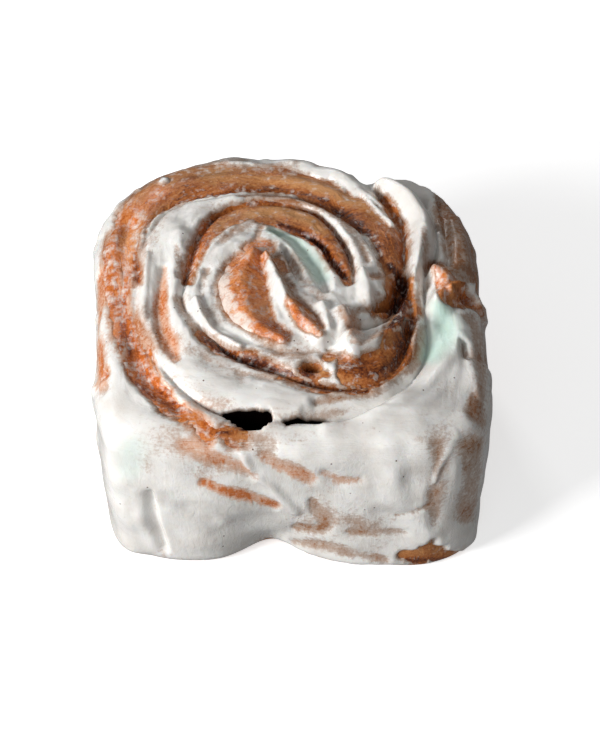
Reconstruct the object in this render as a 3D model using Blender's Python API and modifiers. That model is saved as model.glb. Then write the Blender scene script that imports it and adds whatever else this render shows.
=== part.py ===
"""A pan-baked cinnamon roll: a coiled dough body, its cinnamon filling and its cream icing.

Metres, +Z up. The roll stands on its flat underside, centred on the origin, with its iced front facing -Y.
Plan shapes are polar, about the coil's centre: angles in degrees anticlockwise from +X, radii in millimetres.
"""

import math

import bmesh
import bpy
import numpy as np

MM = 0.001

# The coil's centre in plan, and the heights of the body (mm).
COIL_CENTRE = (-2.455, -3.985)
CROWN_HEIGHT = 53.5
RIM_HEIGHT = 47.5
RIM_TILT = 0.035          # the rim rises this much per millimetre towards the back
SHOULDER_RADIUS = 9.0
HEEL_RADIUS = 5.0
HEEL_TUCK = 2.5           # how far the wall leans in at the underside
HEEL_TUCK_HEIGHT = 22.0

# The crease where the strip's end meets the front wall (degrees, mm).
CREASE_ANGLE = 271.0
CREASE_SPREAD = 8.0
CREASE_DEPTH = 4.5
CREASE_TOP = 34.0

# Seams between the coiled layers, the filling in them, and the fused crust below them (mm).
SEAM_LIP_RADIUS = 2.0
LIP_LIFT = 0.3            # how far the lips' rounding sits above the top, as a share of its radius
SEAM_SLOT_WIDTH = 2.0
SLOT_PROUD = 4.0          # the cutter stands this far above the top
FILLING_THICKNESS = 1.2
FILLING_SINK = 2.5        # the filling's top edge lies this far below the dough's top
CRUST_THICKNESS = 6.0
SEAM_LEAN = 0.1           # the seams draw in by this share of their radius towards the table
FIT_GAP = 0.3
SEAM_STEP = 12.0          # degrees between points of a seam

ICING_THICKNESS = 1.8
ICING_GAP = 0.4

# Plan outline of the body at its widest: (angle, radius).
OUTLINE = [
    (0, 50.5), (17, 53), (31, 56.5), (43, 58), (51, 56.5), (57, 52.5), (61.5, 48.5), (68, 50.5),
    (79, 51.5), (92, 53), (105, 55.5), (118, 57), (130, 57.5), (140, 55.5), (151, 51.5), (166, 47.5),
    (185, 46), (205, 49), (218, 54), (226, 56), (234, 53.5), (247, 49), (261, 45.5), (274, 45),
    (286, 46.8), (298, 51.5), (310, 59), (318, 62), (326, 60), (341, 54),
]

# The outer seam runs from the heart of the coil out to the back right of the rim, the inner seam
# lies between its turns, and the two part the layers of dough: (angle, radius).
OUTER_SEAM = [
    (-352, 16), (-315, 16.2), (-270, 21), (-225, 21.9), (-180, 17.4), (-135, 19), (-90, 20.5),
    (-45, 23.5), (0, 28.6), (45, 27.7), (90, 32.8), (135, 38.6), (180, 34.9), (225, 37), (270, 39.1),
    (315, 42), (352, 36), (380, 41.5), (398, 48),
]
INNER_SEAM = [
    (4, 19.5), (45, 22.5), (90, 28.4), (135, 26.9), (180, 23), (225, 23.4), (270, 26.4), (315, 36.5),
    (360, 31.4), (395, 37), (414, 43),
]

OUTER_SEAM_SPAN = (-344, 392)
INNER_SEAM_SPAN = (16, 404)
HEART = [(10, 16.5), (7, 18.1), (10, 19.8)]  # where the seams meet, round the inner end of a layer
FILLING_INSET = 1         # points of the seam left bare at each end, under the icing

# Lowest edge of the icing on the walls (angle, height above the table).
ICING_HEM = [
    (0, 10), (30, 16), (60, 28), (90, 24), (120, 27), (150, 16), (180, 8), (205, 4), (230, 3.2),
    (270, 9), (300, 4), (330, 3.2), (345, 5),
]
# Inner edge of the iced rim (angle, share of the way from the coil's centre to the outline).
ICING_RIM = [
    (0, 0.8), (30, 0.84), (60, 0.83), (90, 0.86), (135, 0.88), (180, 0.9), (215, 0.88), (240, 0.86),
    (270, 0.78), (310, 0.64), (340, 0.68),
]


def hermite(points, x, period=None):
    """Smooth curve through (x, y) points, evaluated at the array x; period closes it on itself."""
    knots = np.array([p[0] for p in points], float)
    values = np.array([p[1] for p in points], float)
    x = np.asarray(x, float)
    if period:
        x = (x - knots[0]) % period + knots[0]
        knots = np.concatenate([[knots[-1] - period], knots, [knots[0] + period, knots[1] + period]])
        values = np.concatenate([[values[-1]], values, [values[0], values[1]]])
    slopes = np.gradient(values, knots)
    i = np.clip(np.searchsorted(knots, x, side="right") - 1, 0, len(knots) - 2)
    step = knots[i + 1] - knots[i]
    t = np.clip((x - knots[i]) / step, 0.0, 1.0)
    start, end = values[i], values[i + 1]
    bend = (2 * t**3 - 3 * t**2 + 1) * start + (3 * t**2 - 2 * t**3) * end
    return bend + step * ((t**3 - 2 * t**2 + t) * slopes[i] + (t**3 - t**2) * slopes[i + 1])


def to_plan(angle, radius):
    """Plan coordinates (mm) of a polar point about the coil's centre."""
    a = np.radians(angle)
    return COIL_CENTRE[0] + radius * np.cos(a), COIL_CENTRE[1] + radius * np.sin(a)


def rim_height(y):
    """Height of the rim at the plan coordinate y."""
    return RIM_HEIGHT + RIM_TILT * y


def crown(angle, radius):
    """Height of the domed top at a polar point."""
    _, y = to_plan(angle, radius)
    share = radius / hermite(OUTLINE, angle, 360)
    return rim_height(y) + (CROWN_HEIGHT - RIM_HEIGHT) * np.clip(1 - share**2, 0, 1)


def skin_height(angle, radius):
    """Height of the body's top at a polar point, over the shoulder too."""
    flat = hermite(OUTLINE, angle, 360) - SHOULDER_RADIUS
    past = np.clip(radius - flat, 0, SHOULDER_RADIUS)
    drop = SHOULDER_RADIUS - np.sqrt(SHOULDER_RADIUS**2 - past**2)
    return crown(angle, np.minimum(radius, flat)) - drop


def wall_radius(angle, height):
    """Outline radius at a height: tucked in at the heel, with the crease at the front."""
    turn = (np.asarray(angle) - CREASE_ANGLE + 180) % 360 - 180
    low = np.clip(1 - height / CREASE_TOP, 0, 1)
    crease = CREASE_DEPTH * np.exp(-((turn / CREASE_SPREAD) ** 2)) * low * (2 - low)
    tuck = HEEL_TUCK * np.clip(1 - height / HEEL_TUCK_HEIGHT, 0, 1) ** 2
    return hermite(OUTLINE, angle, 360) - crease - tuck


def section(angle, along, proud=0.0):
    """Point of the body's skin: along runs 0 at the crown, 1 where the shoulder starts, 2 where it ends,
    3 where the wall meets the heel and 4 at the underside. proud moves it outwards."""
    radius = hermite(OUTLINE, angle, 360)
    flat = radius - SHOULDER_RADIUS
    top = crown(angle, flat)
    if along <= 1:
        r, z, out, up = along * flat, crown(angle, along * flat), 0.0, 1.0
    elif along <= 2:
        a = (along - 1) * math.pi / 2
        out, up = math.sin(a), math.cos(a)
        r = flat + SHOULDER_RADIUS * out
        z = top - SHOULDER_RADIUS * (1 - up)
    elif along <= 3:
        z = (top - SHOULDER_RADIUS) + (along - 2) * (HEEL_RADIUS - top + SHOULDER_RADIUS)
        r, out, up = wall_radius(angle, z), 1.0, 0.0
    else:
        a = (along - 3) * math.pi / 2
        out, up = math.cos(a), -math.sin(a)
        z = HEEL_RADIUS * (1 - math.sin(a))
        r = wall_radius(angle, z) - HEEL_RADIUS * (1 - out)
    x, y = to_plan(angle, r + proud * out)
    return x * MM, y * MM, (z + proud * up) * MM


def along_at_height(angle, height):
    """Value of section()'s along where the wall passes a height."""
    top = crown(angle, hermite(OUTLINE, angle, 360) - SHOULDER_RADIUS) - SHOULDER_RADIUS
    if height >= HEEL_RADIUS:
        return 2 + (top - height) / (top - HEEL_RADIUS)
    return 3 + math.asin(min(1.0, 1 - height / HEEL_RADIUS)) / (math.pi / 2)


def finished(bm, name, collection):
    """Object made from a bmesh, with its normals pointing out."""
    bmesh.ops.recalc_face_normals(bm, faces=bm.faces)
    mesh = bpy.data.meshes.new(name)
    bm.to_mesh(mesh)
    bm.free()
    obj = bpy.data.objects.new(name, mesh)
    collection.objects.link(obj)
    return obj


def wrapped_grid(columns, rows, place, closed):
    """A grid whose vertex at column i and row j is moved to place(i, j), joined round if closed."""
    bm = bmesh.new()
    bmesh.ops.create_grid(bm, x_segments=columns, y_segments=rows, size=0.5)
    for vert in bm.verts:
        i = round((vert.co.x + 0.5) * columns)
        j = round((vert.co.y + 0.5) * rows)
        vert.co = place(i, j)
    if closed:
        bmesh.ops.remove_doubles(bm, verts=bm.verts, dist=1e-7)
    return bm


def dough_body(collection):
    """The domed, squarish body of the roll before its seams are cut."""
    columns = 76
    stations = [0, 0.16, 0.32, 0.48, 0.64, 0.8, 0.92, 1, 1.33, 1.67, 2, 2.33, 2.67, 3, 3.5, 4]

    def place(i, j):
        return section(360 * i / columns, stations[j])

    bm = wrapped_grid(columns, len(stations) - 1, place, True)
    rim = [e for e in bm.edges if e.is_boundary]
    bmesh.ops.contextual_create(bm, geom=rim)
    return finished(bm, "rolled_dough", collection)


def seam_path(seam, start, end, step=SEAM_STEP):
    """Points (angle, radius) along a seam, at even angles."""
    angles = np.linspace(start, end, int((end - start) / step) + 1)
    return list(zip(angles, hermite(seam, angles)))


def seam_slab(name, path, thickness, low, sink, collection):
    """A ribbon along a seam, from low up to sink below the dough's top; a negative sink stands proud."""
    columns = len(path) - 1

    def place(i, j):
        angle, radius = path[i]
        z = skin_height(angle, radius) - sink if j else low
        x, y = to_plan(angle, radius * (1 - SEAM_LEAN * (1 - z / CROWN_HEIGHT)))
        return x * MM, y * MM, z * MM

    bm = wrapped_grid(columns, 1, place, False)
    slab = finished(bm, name, collection)
    solidify = slab.modifiers.new("thickness", "SOLIDIFY")
    solidify.thickness = thickness * MM
    solidify.offset = 0.0
    solidify.use_even_offset = True
    return slab


def lip_cutter(name, path, collection):
    """A round bar along a seam at the dough's top, which rounds the lips of the layers beside it."""
    curve = bpy.data.curves.new(name, "CURVE")
    curve.dimensions = "3D"
    curve.bevel_depth = SEAM_LIP_RADIUS * MM
    curve.bevel_resolution = 1
    curve.use_fill_caps = True
    spline = curve.splines.new("POLY")
    spline.points.add(len(path) - 1)
    for point, (angle, radius) in zip(spline.points, path):
        x, y = to_plan(angle, radius)
        z = skin_height(angle, radius) + LIP_LIFT * SEAM_LIP_RADIUS
        point.co = (x * MM, y * MM, z * MM, 1.0)
    bar = bpy.data.objects.new(name + "_curve", curve)
    collection.objects.link(bar)
    mesh = bpy.data.meshes.new_from_object(bar.evaluated_get(bpy.context.evaluated_depsgraph_get()))
    bpy.data.objects.remove(bar)
    bm = bmesh.new()
    bm.from_mesh(mesh)
    bpy.data.meshes.remove(mesh)
    bmesh.ops.remove_doubles(bm, verts=bm.verts, dist=1e-6)
    return finished(bm, name, collection)


def as_cutter(obj):
    """Marks a helper that only shapes other objects."""
    obj.hide_render = True
    obj.display_type = "WIRE"
    return obj


def boolean(obj, other, operation, self_crossing=False):
    """Adds a Boolean modifier that combines obj with other, which may be said to cross itself."""
    modifier = obj.modifiers.new(operation.lower() + "_" + other.name, "BOOLEAN")
    modifier.operation = operation
    modifier.object = other
    modifier.solver = "EXACT"
    modifier.use_self = self_crossing


def iced_swirl(collection):
    """The icing that lies along the coil between the two seams, as a curved shell."""
    angles = np.linspace(-12, 404, 70)
    inner = hermite(INNER_SEAM, angles) + 1.2
    outer = np.maximum(hermite(OUTER_SEAM, angles) - 1.0, inner + 1.6)
    rows = 3

    def place(i, j):
        angle = angles[i]
        radius = inner[i] + (outer[i] - inner[i]) * j / rows
        x, y = to_plan(angle, radius)
        return x * MM, y * MM, (skin_height(angle, radius) + ICING_GAP) * MM

    bm = wrapped_grid(len(angles) - 1, rows, place, False)
    for face in bm.faces:
        face.normal_update()
        if face.normal.z < 0:
            face.normal_flip()
    return bm


def iced_walls(collection):
    """The icing over the rim and down the walls, as a curved shell open at the top."""
    columns = 76
    shares = [0, 0.5, 1]

    def place(i, j):
        angle = 360 * i / columns
        radius = hermite(OUTLINE, angle, 360)
        flat = radius - SHOULDER_RADIUS
        start = min(1.0, float(hermite(ICING_RIM, angle, 360)) * radius / flat)
        end = along_at_height(angle, float(hermite(ICING_HEM, angle, 360)))
        stations = [start + (1 - start) * s for s in shares] + [1.33, 1.67, 2]
        stations += [2 + (end - 2) * s for s in (0.33, 0.67, 1)]
        return section(angle, stations[j], ICING_GAP)

    bm = wrapped_grid(columns, len(shares) + 5, place, True)
    bmesh.ops.recalc_face_normals(bm, faces=bm.faces)
    return bm


def shell(bm, name, thickness, collection):
    """A closed shell grown outwards from an open surface whose faces already point out."""
    mesh = bpy.data.meshes.new(name)
    bm.to_mesh(mesh)
    bm.free()
    obj = bpy.data.objects.new(name, mesh)
    collection.objects.link(obj)
    solidify = obj.modifiers.new("thickness", "SOLIDIFY")
    solidify.thickness = thickness * MM
    solidify.offset = 1.0
    return obj


def material(name, colour, roughness):
    """Principled material with one colour and finish."""
    made = bpy.data.materials.new(name)
    made.use_nodes = True
    shader = made.node_tree.nodes["Principled BSDF"]
    shader.inputs["Base Color"].default_value = (*colour, 1.0)
    shader.inputs["Roughness"].default_value = roughness
    shader.inputs["Metallic"].default_value = 0.0
    return made


def new_collection(name):
    """A collection linked to the scene."""
    made = bpy.data.collections.new(name)
    bpy.context.scene.collection.children.link(made)
    return made


def main():
    for obj in list(bpy.data.objects):
        bpy.data.objects.remove(obj)
    parts = new_collection("cinnamon_roll")
    cutters = new_collection("cutters")

    dough = dough_body(parts)
    dough.data.materials.append(material("baked_dough", (0.56, 0.24, 0.09), 0.5))
    filling_finish = material("cinnamon_filling", (0.12, 0.03, 0.012), 0.3)
    path = seam_path(OUTER_SEAM, *OUTER_SEAM_SPAN)[::-1] + HEART + seam_path(INNER_SEAM, *INNER_SEAM_SPAN)
    slot = seam_slab("slot", path, SEAM_SLOT_WIDTH, CRUST_THICKNESS, -SLOT_PROUD, cutters)
    boolean(dough, as_cutter(slot), "DIFFERENCE")
    boolean(dough, as_cutter(lip_cutter("lips", path, cutters)), "DIFFERENCE", True)
    ribbon = seam_slab(
        "cinnamon_filling", path[FILLING_INSET:-FILLING_INSET], FILLING_THICKNESS,
        CRUST_THICKNESS + FIT_GAP, FILLING_SINK, parts,
    )
    ribbon.data.materials.append(filling_finish)

    icing_finish = material("cream_icing", (0.84, 0.83, 0.8), 0.35)
    icing = shell(iced_walls(parts), "cream_icing", ICING_THICKNESS, parts)
    icing.data.materials.append(icing_finish)
    swirl = as_cutter(shell(iced_swirl(cutters), "swirl_icing", ICING_THICKNESS, cutters))
    boolean(icing, swirl, "UNION")


main()
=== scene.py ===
"""Looks of a pan-baked cinnamon roll: baked dough, cinnamon syrup in its seams and cream icing over it.

The forms are worked out in millimetres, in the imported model's own frame, and brought to metres at the end.
Plan positions are (x, y) on the coiled top, and wall positions run along the wall and up it.
"""

import logging
import math
from dataclasses import dataclass, field, replace
from enum import Enum
from typing import Sequence

import bmesh
import bpy
import numpy as np
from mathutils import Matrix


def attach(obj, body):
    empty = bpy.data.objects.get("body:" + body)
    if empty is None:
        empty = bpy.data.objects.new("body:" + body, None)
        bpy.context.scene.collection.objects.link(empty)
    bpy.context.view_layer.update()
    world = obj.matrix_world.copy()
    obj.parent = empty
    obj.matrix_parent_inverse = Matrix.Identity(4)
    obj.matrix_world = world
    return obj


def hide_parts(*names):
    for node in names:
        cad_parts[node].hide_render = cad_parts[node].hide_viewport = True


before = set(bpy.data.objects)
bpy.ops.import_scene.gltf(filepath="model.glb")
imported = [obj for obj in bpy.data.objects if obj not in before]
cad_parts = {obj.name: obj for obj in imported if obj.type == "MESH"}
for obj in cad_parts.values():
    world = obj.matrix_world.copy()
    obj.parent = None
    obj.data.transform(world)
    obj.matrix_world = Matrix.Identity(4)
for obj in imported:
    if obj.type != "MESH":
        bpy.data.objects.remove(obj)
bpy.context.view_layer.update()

MM = 0.001
# The top's marks slant: each lies this much further back for every millimetre that the surface lies lower.
SLANT = 0.93
# The plan position that the two seams wind about, in millimetres.
PIVOT = (-3.0, -4.0)
# Painted shade: the black laid in a gap too deep for light to reach.
PAINTED_HOLLOW_SHADE = "#050202"
LOG = logging.getLogger("cinnamon_roll")
Array = np.ndarray
Row = tuple[float, ...]


class Face(Enum):
    """Which side of the roll a brush is laid on."""

    TOP = "top"
    FRONT = "front"
    RIGHT = "right"
    BACK = "back"
    LEFT = "left"


@dataclass(frozen=True)
class Brush:
    """A soft stroke laid on one side of the roll.

    Each point of the path is (across, up, half_width) in millimetres: x and y on the top, x and height on the
    front and back, y and height on the two sides.
    """

    path: tuple[Row, ...]
    amount: float
    face: Face = Face.TOP
    fade: float = 1.0

    def raised(self) -> "Brush":
        """Moves the stroke back as far as a mark slides on a surface that this stroke raises.

        Returns:
            The moved stroke, or the same one where it is laid on a wall.
        """
        back = -0.7 * SLANT * self.amount
        path = tuple((x, y + back, *rest) for x, y, *rest in self.path)
        return replace(self, path=path) if self.face is Face.TOP else self


def smooth_step(low: float, high: float, value: Array) -> Array:
    """Rises smoothly from 0 at low to 1 at high."""
    share = np.clip((value - low) / (high - low), 0.0, 1.0)
    return share * share * (3.0 - 2.0 * share)


def smooth_curve(knots: Sequence[Row], at: Array, period: float | None = None) -> Array:
    """Smooth curve through (position, value) knots.

    Args:
        knots: the points, in rising order of position.
        at: positions to read the curve at.
        period: the length after which the curve repeats, if it is closed.

    Returns:
        The curve's value at each position.
    """
    place = np.array([knot[0] for knot in knots], float)
    value = np.array([knot[1] for knot in knots], float)
    at = np.asarray(at, float)
    if period:
        at = (at - place[0]) % period + place[0]
        place = np.concatenate([[place[-1] - period], place, place[:2] + period])
        value = np.concatenate([value[-1:], value, value[:2]])
    slope = np.gradient(value, place)
    i = np.clip(np.searchsorted(place, at, side="right") - 1, 0, len(place) - 2)
    step = place[i + 1] - place[i]
    t = np.clip((at - place[i]) / step, 0.0, 1.0)
    ends = (2 * t**3 - 3 * t**2 + 1) * value[i] + (3 * t**2 - 2 * t**3) * value[i + 1]
    return ends + step * ((t**3 - 2 * t**2 + t) * slope[i] + (t**3 - t**2) * slope[i + 1])


def rounded_path(points: Sequence[Row], spacing: float) -> Array:
    """Curve through the points of a stroke, with every other number on a point carried along.

    Args:
        points: the stroke's points, each (across, up, ...).
        spacing: the distance between the points of the result.

    Returns:
        One row for each point of the finer path.
    """
    rows = np.array(points, float)
    if len(rows) == 1:
        dab = np.repeat(rows, 2, axis=0)
        dab[1, 0] += 1e-3
        return dab
    lengths = np.hypot(*np.diff(rows[:, :2], axis=0).T)
    along = np.concatenate([[0.0], np.cumsum(lengths)])
    fine = np.linspace(0.0, along[-1], max(2, int(along[-1] / spacing) + 1))
    columns = [smooth_curve(list(zip(along, column)), fine) for column in rows.T]
    return np.stack(columns, axis=1)


def nearest(at: Array, path: Array) -> tuple[Array, Array, Array]:
    """Nearest point of a path to each place.

    Args:
        at: places, one (across, up) row each.
        path: the path's points, each (across, up, ...).

    Returns:
        The distance, the path's other numbers there, and the side: positive to the path's left.
    """
    start, run = path[:-1, :2], np.diff(path[:, :2], axis=0)
    length = np.maximum((run**2).sum(axis=1), 1e-9)
    distance, side = np.empty(len(at)), np.empty(len(at))
    others = np.empty((len(at), path.shape[1] - 2))
    batch = 4000
    for first in range(0, len(at), batch):
        some = slice(first, first + batch)
        away = at[some, None, :] - start[None]
        t = np.clip((away * run[None]).sum(axis=2) / length, 0.0, 1.0)
        gap = away - t[..., None] * run[None]
        square = (gap**2).sum(axis=2)
        best = square.argmin(axis=1)
        pick = (np.arange(len(best)), best)
        distance[some] = np.sqrt(square[pick])
        share = t[pick][:, None]
        others[some] = path[best, 2:] * (1 - share) + path[best + 1, 2:] * share
        side[some] = np.sign(run[best, 0] * away[pick][:, 1] - run[best, 1] * away[pick][:, 0])
    return distance, others, side


def lumps(at: Array, seed: int) -> Array:
    """Smooth noise with lumps about one unit across.

    Args:
        at: places, one row of three coordinates each.
        seed: a number that gives its own pattern of lumps.

    Returns:
        The noise at each place, from -1 to 1.
    """
    cell = np.floor(at).astype(np.int64)
    blend = at - cell
    blend = blend * blend * (3.0 - 2.0 * blend)
    total = np.zeros(len(at))
    for corner in np.ndindex(2, 2, 2):
        near = cell + np.array(corner)
        # Each cell's corner has its own number, stirred until it looks random.
        mixed = (near[:, 0] * 73856093) ^ (near[:, 1] * 19349663) ^ (near[:, 2] * 83492791) ^ (seed * 40503)
        mixed = (mixed ^ (mixed >> 13)) * 1274126177
        value = ((mixed ^ (mixed >> 16)) & 65535) / 32767.5 - 1.0
        weight = np.prod(np.where(np.array(corner) == 1, blend, 1.0 - blend), axis=1)
        total += value * weight
    return total


@dataclass(frozen=True)
class LoafShape:
    """The smooth squarish body that every layer of the roll is laid on. Millimetres."""

    centre: tuple[float, float] = (-2.455, -3.985)
    crown: float = 53.4
    rim: float = 47.4
    rim_tilt: float = 0.036
    shoulder: float = 7.5
    heel: float = 2.2
    tuck: float = 0.5
    tuck_height: float = 22.0
    skin: float = 1.4
    crease_angle: float = 267.0
    crease_spread: float = 13.0
    crease_depth: float = 7.0
    crease_top: float = 31.0
    outline: tuple[Row, ...] = (
        (0, 50.5), (17, 53), (31, 56.5), (43, 58), (51, 56.5), (57, 52.5), (61.5, 48.5), (68, 50.5),
        (79, 51.5), (92, 53), (105, 55.5), (118, 57), (130, 57.5), (140, 56), (152, 53.2), (166, 48.4),
        (185, 46), (205, 49.4), (218, 54.8), (226, 57.2), (234, 55), (247, 50.4), (261, 47), (274, 46.8),
        (286, 48.8), (298, 53.4), (310, 60.4), (318, 62.6), (326, 60), (341, 53.8),
    )

    def radius(self, angle: Array) -> Array:
        """Radius of the body's widest outline at an angle in degrees, under the icing."""
        return smooth_curve(self.outline, angle, 360.0) - self.skin

    def dome(self, angle: Array, radius: Array) -> Array:
        """Height of the domed top inside the shoulder.

        Args:
            angle: degrees about the body's centre.
            radius: distance from the centre.

        Returns:
            The height over the floor.
        """
        y = self.centre[1] + radius * np.sin(np.radians(angle))
        edge = self.rim + self.rim_tilt * y
        return edge + (self.crown - self.rim) * np.clip(1 - (radius / self.radius(angle)) ** 2, 0, 1)

    def wall(self, angle: Array, height: Array) -> Array:
        """Radius of the wall, drawn in at the front's crease and towards the foot.

        Args:
            angle: degrees about the body's centre.
            height: height over the floor.

        Returns:
            The distance from the centre.
        """
        turn = (angle - self.crease_angle + 180) % 360 - 180
        low = np.clip(1 - height / self.crease_top, 0, 1)
        crease = self.crease_depth * np.exp(-((turn / self.crease_spread) ** 2)) * low**2 * (3 - 2 * low)
        tuck = self.tuck * np.clip(1 - height / self.tuck_height, 0, 1) ** 2
        return self.radius(angle) - crease - tuck

    def skin_of(self, cube: Array) -> tuple[Array, Array, Array]:
        """Lays an open box on the body.

        Args:
            cube: points of a box's lid, with x and y from -1 to 1 at z = 0, and of its walls, down to z = -1.

        Returns:
            Places on the body, the outward directions there, and the angle about the body's centre.
        """
        angle = np.degrees(np.arctan2(cube[:, 1], cube[:, 0])) % 360
        widest = self.radius(angle)
        flat = widest - self.shoulder
        share = np.maximum(np.abs(cube[:, 0]), np.abs(cube[:, 1]))
        edge = self.dome(angle, flat)
        shoulder_arc = self.shoulder * math.pi / 2
        heel_arc = self.heel * math.pi / 2
        straight = edge - self.shoulder - self.heel
        run = -cube[:, 2] * (shoulder_arc + straight + heel_arc)
        bend = np.clip(run / self.shoulder, 0, math.pi / 2)
        down = np.clip(run - shoulder_arc, 0, straight)
        under = np.clip((run - shoulder_arc - straight) / self.heel, 0, math.pi / 2)
        height = edge - self.shoulder * (1 - np.cos(bend)) - down
        height = np.where(under > 0, self.heel * (1 - np.sin(under)), height)
        radius = np.where(down > 0, self.wall(angle, height), flat + self.shoulder * np.sin(bend))
        radius = radius - self.heel * (1 - np.cos(under))
        lid = cube[:, 2] >= -1e-6
        radius = np.where(lid, share * flat, radius)
        height = np.where(lid, self.dome(angle, share * flat), height)
        out = np.where(lid, 0.0, np.sin(bend) * np.cos(under))
        up = np.where(lid, 1.0, np.cos(bend) - np.sin(under))
        x_way, y_way = np.cos(np.radians(angle)), np.sin(np.radians(angle))
        places = np.stack([self.centre[0] + radius * x_way, self.centre[1] + radius * y_way, height], axis=1)
        return places, np.stack([out * x_way, out * y_way, up], axis=1), angle

    def on_lid(self, plan: Array) -> Array:
        """Finds the points of the open box's lid that land on plan positions.

        Args:
            plan: plan positions inside the shoulder.

        Returns:
            The points, ready for skin_of.
        """
        away = plan - np.array(self.centre)
        angle = np.degrees(np.arctan2(away[:, 1], away[:, 0])) % 360
        reach = np.maximum(np.hypot(*away.T), 1e-6)
        share = np.minimum(reach / (self.radius(angle) - self.shoulder), 1.0)
        square = away / np.abs(away).max(axis=1)[:, None] * share[:, None]
        return np.column_stack([square, np.zeros(len(plan))])


@dataclass(frozen=True)
class Ground:
    """Places on the smooth body where the layers are worked out. Millimetres.

    Each place has its outward direction, its angle about the body's centre, its streak coordinates, and its
    lean, which is how far forward the top's marks slide there. The front wall's face stands at y = front.
    """

    place: Array
    out: Array
    angle: Array
    flow: Array
    lean: Array
    front: float = -49.5

    @classmethod
    def on(cls, shape: LoafShape, cube: Array) -> "Ground":
        """Works out the ground under each point of an open box laid on the body."""
        place, out, angle = shape.skin_of(cube)
        return cls(place, out, angle, cls.grain(shape, place, out, angle), np.zeros(len(place)))

    @property
    def wall(self) -> Array:
        """How far each place belongs to the walls, from 0 on the top to 1."""
        return 1 - smooth_step(0.3, 0.7, self.out[:, 2])

    def with_rise(self, rise: Array) -> "Ground":
        """The same ground, with the top's marks slanting over a surface that stands this far above it."""
        return replace(self, lean=SLANT * rise * self.out[:, 2])

    @staticmethod
    def grain(shape: LoafShape, place: Array, out: Array, angle: Array) -> Array:
        """Works out coordinates that are squeezed along the coil on top and up the walls, for streaky noise.

        Args:
            shape: the body.
            place: places on it.
            out: the outward directions there.
            angle: the angles about its centre there.

        Returns:
            Three coordinates for each place, in millimetres across the streaks.
        """
        turn = np.radians(angle)
        reach = np.hypot(place[:, 0] - shape.centre[0], place[:, 1] - shape.centre[1])
        share = reach / shape.radius(angle)
        coil = np.stack([12 * np.cos(turn), 12 * np.sin(turn), 46 * share], axis=1)
        fall = np.stack([46 * np.cos(turn), 46 * np.sin(turn), 0.3 * place[:, 2] + 40], axis=1)
        top = smooth_step(0.15, 0.75, out[:, 2])[:, None]
        # Turned about two axes, so that the noise's cells never line up with the coil.
        tip, roll = math.radians(35), math.radians(50)
        tipped = np.array([[1, 0, 0], [0, math.cos(tip), math.sin(tip)], [0, -math.sin(tip), math.cos(tip)]])
        rolled = np.array(
            [[math.cos(roll), 0, math.sin(roll)], [0, 1, 0], [-math.sin(roll), 0, math.cos(roll)]]
        )
        return (top * coil + (1 - top) * fall) @ tipped @ rolled

    def seen_on(self, face: Face) -> tuple[Array, Array]:
        """Lays one side of the roll out flat.

        Args:
            face: the side.

        Returns:
            The flat coordinates that a brush's path uses there, and how far each place belongs to the side,
            from 0 to 1.
        """
        x, y, z = self.place.T
        if face is Face.TOP:
            return np.stack([x, y + self.lean], axis=1), smooth_step(0.12, 0.45, self.out[:, 2])
        side = 1 - smooth_step(0.75, 0.95, self.out[:, 2])
        middle = {Face.FRONT: 271.0, Face.RIGHT: 2.0, Face.BACK: 95.0, Face.LEFT: 182.0}[face]
        turn = np.abs((self.angle - middle + 180) % 360 - 180)
        belongs = side * (1 - smooth_step(46.0, 56.0, turn))
        across = x if face in (Face.FRONT, Face.BACK) else y
        up = z + (y - self.front) / SLANT if face is Face.FRONT else z
        return np.stack([across, up], axis=1), belongs

    def stroke(self, brush: Brush) -> tuple[Array, Array, Array, Array]:
        """Finds where a brush lies.

        Args:
            brush: the stroke to lay.

        Returns:
            The indices of the places near it, how far each is from its path as a share of the half-width, how
            far each is inside its edge in millimetres, and how far each belongs to its side, from 0 to 1.
        """
        flat, belongs = self.seen_on(brush.face)
        path = rounded_path(brush.path, 1.0)
        reach = path[:, 2].max() * 1.1 + 3.0
        low, high = path[:, :2].min(axis=0) - reach, path[:, :2].max(axis=0) + reach
        close = np.flatnonzero((belongs > 0.02) & (flat > low).all(axis=1) & (flat < high).all(axis=1))
        distance, others, _ = nearest(flat[close], path)
        return close, distance / others[:, 0], others[:, 0] - distance, belongs[close]

    def paint(self, brushes: Sequence[Brush]) -> Array:
        """Adds up soft strokes, each fading to nothing at its half-width.

        Args:
            brushes: the strokes.

        Returns:
            Their sum at each place.
        """
        total = np.zeros(len(self.place))
        for brush in brushes:
            close, share, _, belongs = self.stroke(brush)
            body = 1 - smooth_step(1 - brush.fade, 1.0, share)
            total[close] += brush.amount * body * belongs
        return total

    def inside(self, brushes: Sequence[Brush]) -> Array:
        """Measures from the joined edge of hard strokes.

        Args:
            brushes: the strokes.

        Returns:
            How far each place is inside the edge, negative outside, down to -6 mm.
        """
        depth = np.full(len(self.place), -6.0)
        for brush in brushes:
            close, _, within, belongs = self.stroke(brush)
            worth = within * brush.amount - 8.0 * (1 - belongs)
            depth[close] = np.maximum(depth[close], worth)
        return depth

    def noise(self, size: float, seed: int) -> Array:
        """Even lumps of a size in millimetres."""
        return lumps(self.place / size + 31.7, seed)

    def streaks(self, size: float, seed: int) -> Array:
        """Lumps drawn out along the coil and down the walls."""
        return lumps(self.flow / size + 57.3, seed)


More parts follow.
